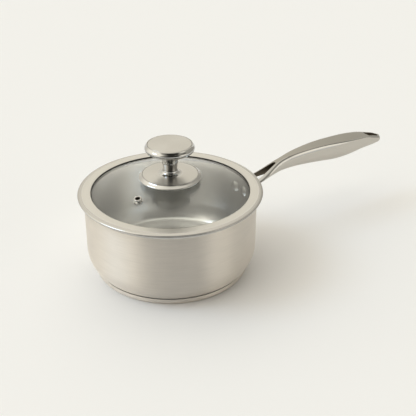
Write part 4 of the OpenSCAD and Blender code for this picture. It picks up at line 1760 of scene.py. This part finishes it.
@dataclass
class Studio:
    """Pale floor, soft lights and the camera."""

    floor_r: float = 30.0
    floor_tint: Colour = (0.866, 0.866, 0.882)
    sky_tint: Colour = (1.0, 0.955, 0.835)
    sky_strength: float = 1.18
    sun_tint: Colour = (0.56, 0.76, 1.0)
    sun_strength: float = 0.6
    sun_lift: float = 45.0
    sun_width: float = 26.0
    distance: float = 0.777
    elevation: float = 29.5
    heading: float = 31.0
    yaw: float = 2.65
    pitch: float = 0.93
    roll: float = 0.2
    aim_z: float = 0.045
    lens: float = 69.23

    def across(self) -> Vector:
        """Unit vector to the camera's right, level."""
        a = math.radians(self.heading)
        return Vector((math.cos(a), -math.sin(a), 0))

    def ahead(self) -> Vector:
        """Unit vector away from the camera, level."""
        a = math.radians(self.heading)
        return Vector((math.sin(a), math.cos(a), 0))

    def build_floor(self) -> None:
        """Plain matt floor."""
        steps = 96
        turns = [2 * math.pi * k / steps for k in range(steps)]
        verts = [(self.floor_r * math.cos(a), self.floor_r * math.sin(a), 0.0) for a in turns]
        floor = mesh_object("studio_floor", verts, [tuple(range(steps))])
        material = bpy.data.materials.new("floor_paper")
        material.use_nodes = True
        skin = material.node_tree.nodes["Principled BSDF"]
        skin.inputs["Base Color"].default_value = (*self.floor_tint, 1.0)
        skin.inputs["Roughness"].default_value = 0.9
        skin.inputs["Specular IOR Level"].default_value = 0.1
        floor.data.materials.append(material)

    def toward(self, left: float, lift: float) -> Vector:
        """Unit vector out from the pan.

        Args:
            left: Degrees to the left of the camera, seen from above the pan.
            lift: Degrees above the floor.

        Returns:
            The vector.
        """
        a, b = math.radians(left), math.radians(lift)
        level = -self.ahead() * math.cos(a) - self.across() * math.sin(a)
        return level * math.cos(b) + Vector((0, 0, math.sin(b)))

    def build_sky(self) -> None:
        """Warm sky with broad bright and dark parts."""
        world = bpy.data.worlds.new("studio_sky")
        bpy.context.scene.world = world
        world.use_nodes = True
        tree = world.node_tree
        nodes, links = tree.nodes, tree.links
        place = nodes.new("ShaderNodeTexCoord")
        level: object = SKY_LEVEL
        for patch in SKY_PATCHES:
            near = nodes.new("ShaderNodeVectorMath")
            near.operation = "DOT_PRODUCT"
            near.inputs[1].default_value = self.toward(patch.left, patch.lift)
            links.new(place.outputs["Generated"], near.inputs[0])
            soft = nodes.new("ShaderNodeMapRange")
            soft.interpolation_type = "SMOOTHERSTEP"
            links.new(near.outputs["Value"], soft.inputs["Value"])
            soft.inputs["From Min"].default_value = math.cos(math.radians(patch.outer))
            soft.inputs["From Max"].default_value = math.cos(math.radians(patch.inner))
            level = Effects.math(tree, "MULTIPLY_ADD", soft.outputs[0], patch.gain, level)
        sky = nodes["Background"]
        sky.inputs["Color"].default_value = (*self.sky_tint, 1.0)
        level = Effects.math(tree, "MAXIMUM", level, SKY_LOWEST)
        links.new(Effects.math(tree, "MULTIPLY", level, self.sky_strength), sky.inputs["Strength"])

    def build_sun(self) -> None:
        """Wide cool light from the camera's left."""
        data = bpy.data.lights.new("key_light", "SUN")
        data.energy, data.color, data.angle = self.sun_strength, self.sun_tint, math.radians(self.sun_width)
        lamp = bpy.data.objects.new("key_light", data)
        lamp.rotation_euler = (-self.toward(90.0, self.sun_lift)).to_track_quat("-Z", "Y").to_euler()
        bpy.context.scene.collection.objects.link(lamp)

    def build_camera(self) -> None:
        """Camera at the pan's three-quarter view."""
        lift = math.radians(self.elevation)
        flat, across = self.ahead(), self.across()
        forward = (flat * math.cos(lift) - Vector((0, 0, math.sin(lift)))).normalized()
        above = across.cross(forward)
        place = Vector((0, 0, self.aim_z)) - forward * self.distance
        forward += across * math.tan(math.radians(self.yaw)) + above * math.tan(math.radians(self.pitch))
        forward.normalize()
        right = forward.cross(Vector((0, 0, 1))).normalized()
        above = right.cross(forward)
        c, s = math.cos(math.radians(self.roll)), math.sin(math.radians(self.roll))
        right, above = right * c + above * s, above * c - right * s
        data = bpy.data.cameras.new("studio_camera")
        data.lens, data.sensor_width = self.lens, 36.0
        data.clip_start, data.clip_end = 0.01, 100.0
        camera = bpy.data.objects.new("studio_camera", data)
        turn = Matrix((right, above, -forward)).transposed()
        camera.matrix_world = Matrix.Translation(place) @ turn.to_4x4()
        bpy.context.scene.collection.objects.link(camera)
        bpy.context.scene.camera = camera

    def build(self) -> None:
        """Builds the floor, lights and camera."""
        bpy.context.scene.view_settings.view_transform = "Standard"
        self.build_floor()
        self.build_sky()
        self.build_sun()
        self.build_camera()


def corners(box: tuple[Vector, Vector]) -> list[list[float]]:
    """A box as plain lists of numbers."""
    return [list(box[0]), list(box[1])]


def main() -> None:
    """Builds the saucepan around its frame, then the studio."""
    logging.basicConfig(level=logging.INFO, format="%(name)s: %(message)s")
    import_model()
    finishes = Finishes()
    finishes.build()
    Pan().build(finishes)
    Handle().build(finishes)
    Rivets().build(finishes)
    lid = Lid()
    lid.build(finishes)
    Knob(apex_z=lid.top(0)).build(finishes, lid)
    Studio().build()


if __name__ == "__main__":
    main()
